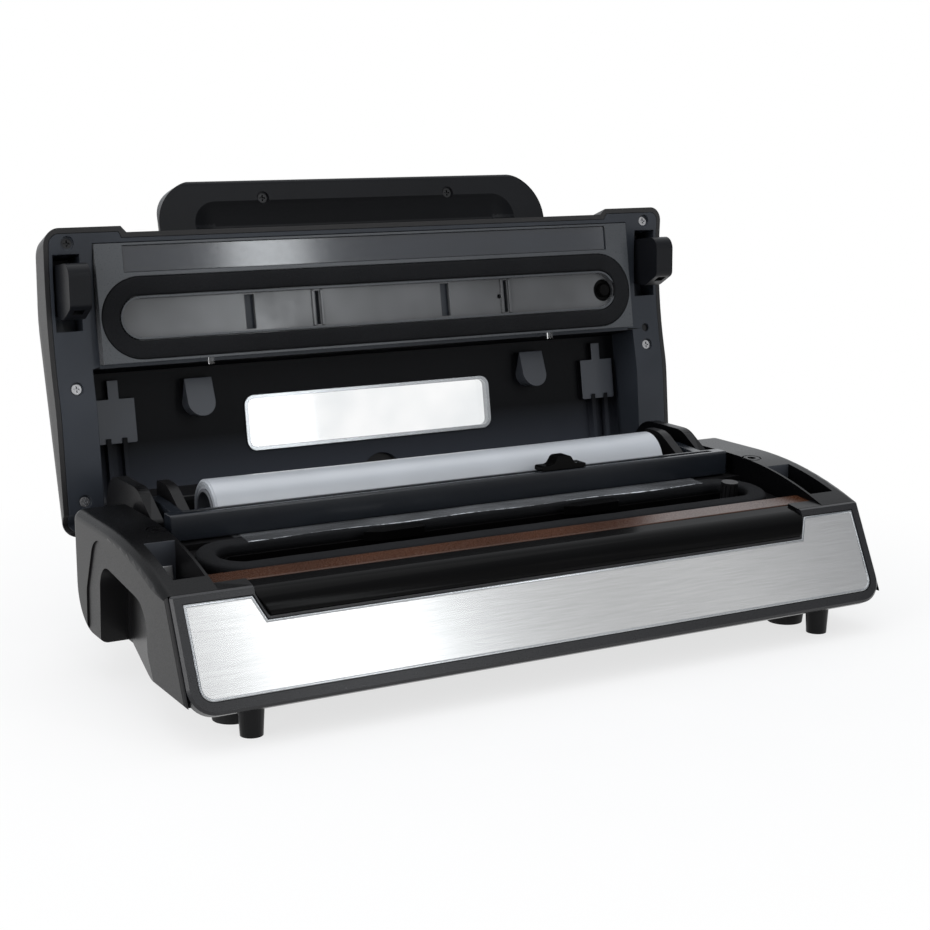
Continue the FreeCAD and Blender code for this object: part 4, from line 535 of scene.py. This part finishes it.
# Room: white to the camera and through clear pieces, for reflections darker in front than behind
WHITE = (1, 1, 1)
ROOM_FRONT, ROOM_BACK, ROOM_TURN = (0.14, 0.16, 0.19), (0.95, 0.97, 1.0), 0.35
CEILING, CEILING_FROM, CEILING_TO = (0.85, 0.88, 0.92), 0.6, 0.95
GLOW, GLOW_AIM = (0.78, 0.78, 0.78), Vector((0.26, -0.84, 0.5)).normalized()
GLOW_WIDE, GLOW_FULL = math.radians(38), math.radians(8)
world = bpy.data.worlds.new("studio")
bpy.context.scene.world = world
world.use_nodes = True
sky = world.node_tree
direction = add(sky, "TexCoord").outputs["Generated"]
rear = remap(sky, dot(sky, direction, (0, 1, 0)), 0.0, 1.0, -ROOM_TURN, ROOM_TURN)
overhead = remap(sky, dot(sky, direction, (0, 0, 1)), 0.0, 1.0, CEILING_FROM, CEILING_TO)
glow = remap(sky, dot(sky, direction, GLOW_AIM), 0.0, 1.0, math.cos(GLOW_WIDE), math.cos(GLOW_FULL))
room = blend(sky, rear, ROOM_FRONT, ROOM_BACK)
room = blend(sky, overhead, room, CEILING)
room = blend(sky, glow, room, GLOW)
rays = add(sky, "LightPath")
seen = add(sky, "Math", operation="MAXIMUM")
for ray, socket in zip(("Is Camera Ray", "Is Transmission Ray"), seen.inputs):
    link(sky, rays.outputs[ray], socket)
link(sky, blend(sky, seen.outputs[0], room, WHITE), sky.nodes["Background"].inputs["Color"])

# Floor: white paper that keeps the shadow near the object and fades into the room
FLOOR_SIZE = 40
FADE_LOW, FADE_FROM, FADE_TO = 0.72, 0.2, 0.42
bpy.ops.mesh.primitive_plane_add(size=FLOOR_SIZE, location=(0, 0, 0))
floor = bpy.context.object
floor.name = "floor"
paper = surface("paper_floor", (0.86, 0.86, 0.86), 0.9, vary=0.01, bump=0.0, edge=0.0, shine=0.0)
tree = paper.node_tree
reach = add(tree, "VectorMath", operation="LENGTH")
link(tree, add(tree, "TexCoord").outputs["Object"], reach.inputs[0])
fade = remap(tree, reach.outputs["Value"], FADE_LOW, 1.0, FADE_FROM, FADE_TO)
rays = add(tree, "LightPath")
kinds = add(tree, "CombineXYZ")
for ray, socket in zip(("Is Camera Ray", "Is Glossy Ray", "Is Transmission Ray"), kinds.inputs):
    link(tree, rays.outputs[ray], socket)
seen = add(tree, "Math", operation="MULTIPLY", use_clamp=True)
link(tree, dot(tree, kinds.outputs[0], (1, 1, 1)), seen.inputs[0])
link(tree, fade, seen.inputs[1])
mixer = add(tree, "MixShader")
link(tree, seen.outputs[0], mixer.inputs[0])
link(tree, tree.nodes["Principled BSDF"].outputs[0], mixer.inputs[1])
link(tree, add(tree, "Emission").outputs[0], mixer.inputs[2])
link(tree, mixer.outputs[0], tree.nodes["Material Output"].inputs["Surface"])
floor.data.materials.append(paper)


# Lamps and camera


def softbox(name, spot, size, power, aim=(0, 0, 0.1), colour=WHITE):
    """Rectangular lamp turned toward a point, its power in watts."""
    data = bpy.data.lights.new(name, "AREA")
    data.shape = "RECTANGLE"
    data.size, data.size_y = size
    data.energy = power
    data.color = colour
    lamp = bpy.data.objects.new(name, data)
    lamp.location = spot
    lamp.rotation_euler = (Vector(aim) - Vector(spot)).to_track_quat("-Z", "Y").to_euler()
    bpy.context.collection.objects.link(lamp)


softbox("strip", spot=(0.63, -1.51, 0.75), size=(0.12, 1.5), power=3.1, colour=(0.93, 0.97, 1.0))
softbox("side_strip", spot=(1.22, -1.4, 0.75), size=(0.06, 1.5), power=0.32)
softbox("top", spot=(-0.1, 0.1, 2.2), size=(2.6, 2.2), power=13, aim=(0, 0, 0))
softbox("left", spot=(-1.75, -0.45, 0.75), size=(1.0, 1.0), power=13)

CAMERA_SPOT = (-0.4595, -0.82958, 0.281)
CAMERA_DOWN, CAMERA_TURN = 11.463, -29.401
LENS, SENSOR = 69.68, 36.0
camera_data = bpy.data.cameras.new("camera")
camera_data.lens = LENS
camera_data.sensor_width = SENSOR
camera = bpy.data.objects.new("camera", camera_data)
camera.location = CAMERA_SPOT
camera.rotation_euler = (math.radians(90 - CAMERA_DOWN), 0, math.radians(CAMERA_TURN))
bpy.context.collection.objects.link(camera)
bpy.context.scene.camera = camera
bpy.context.scene.view_settings.view_transform = "Standard"
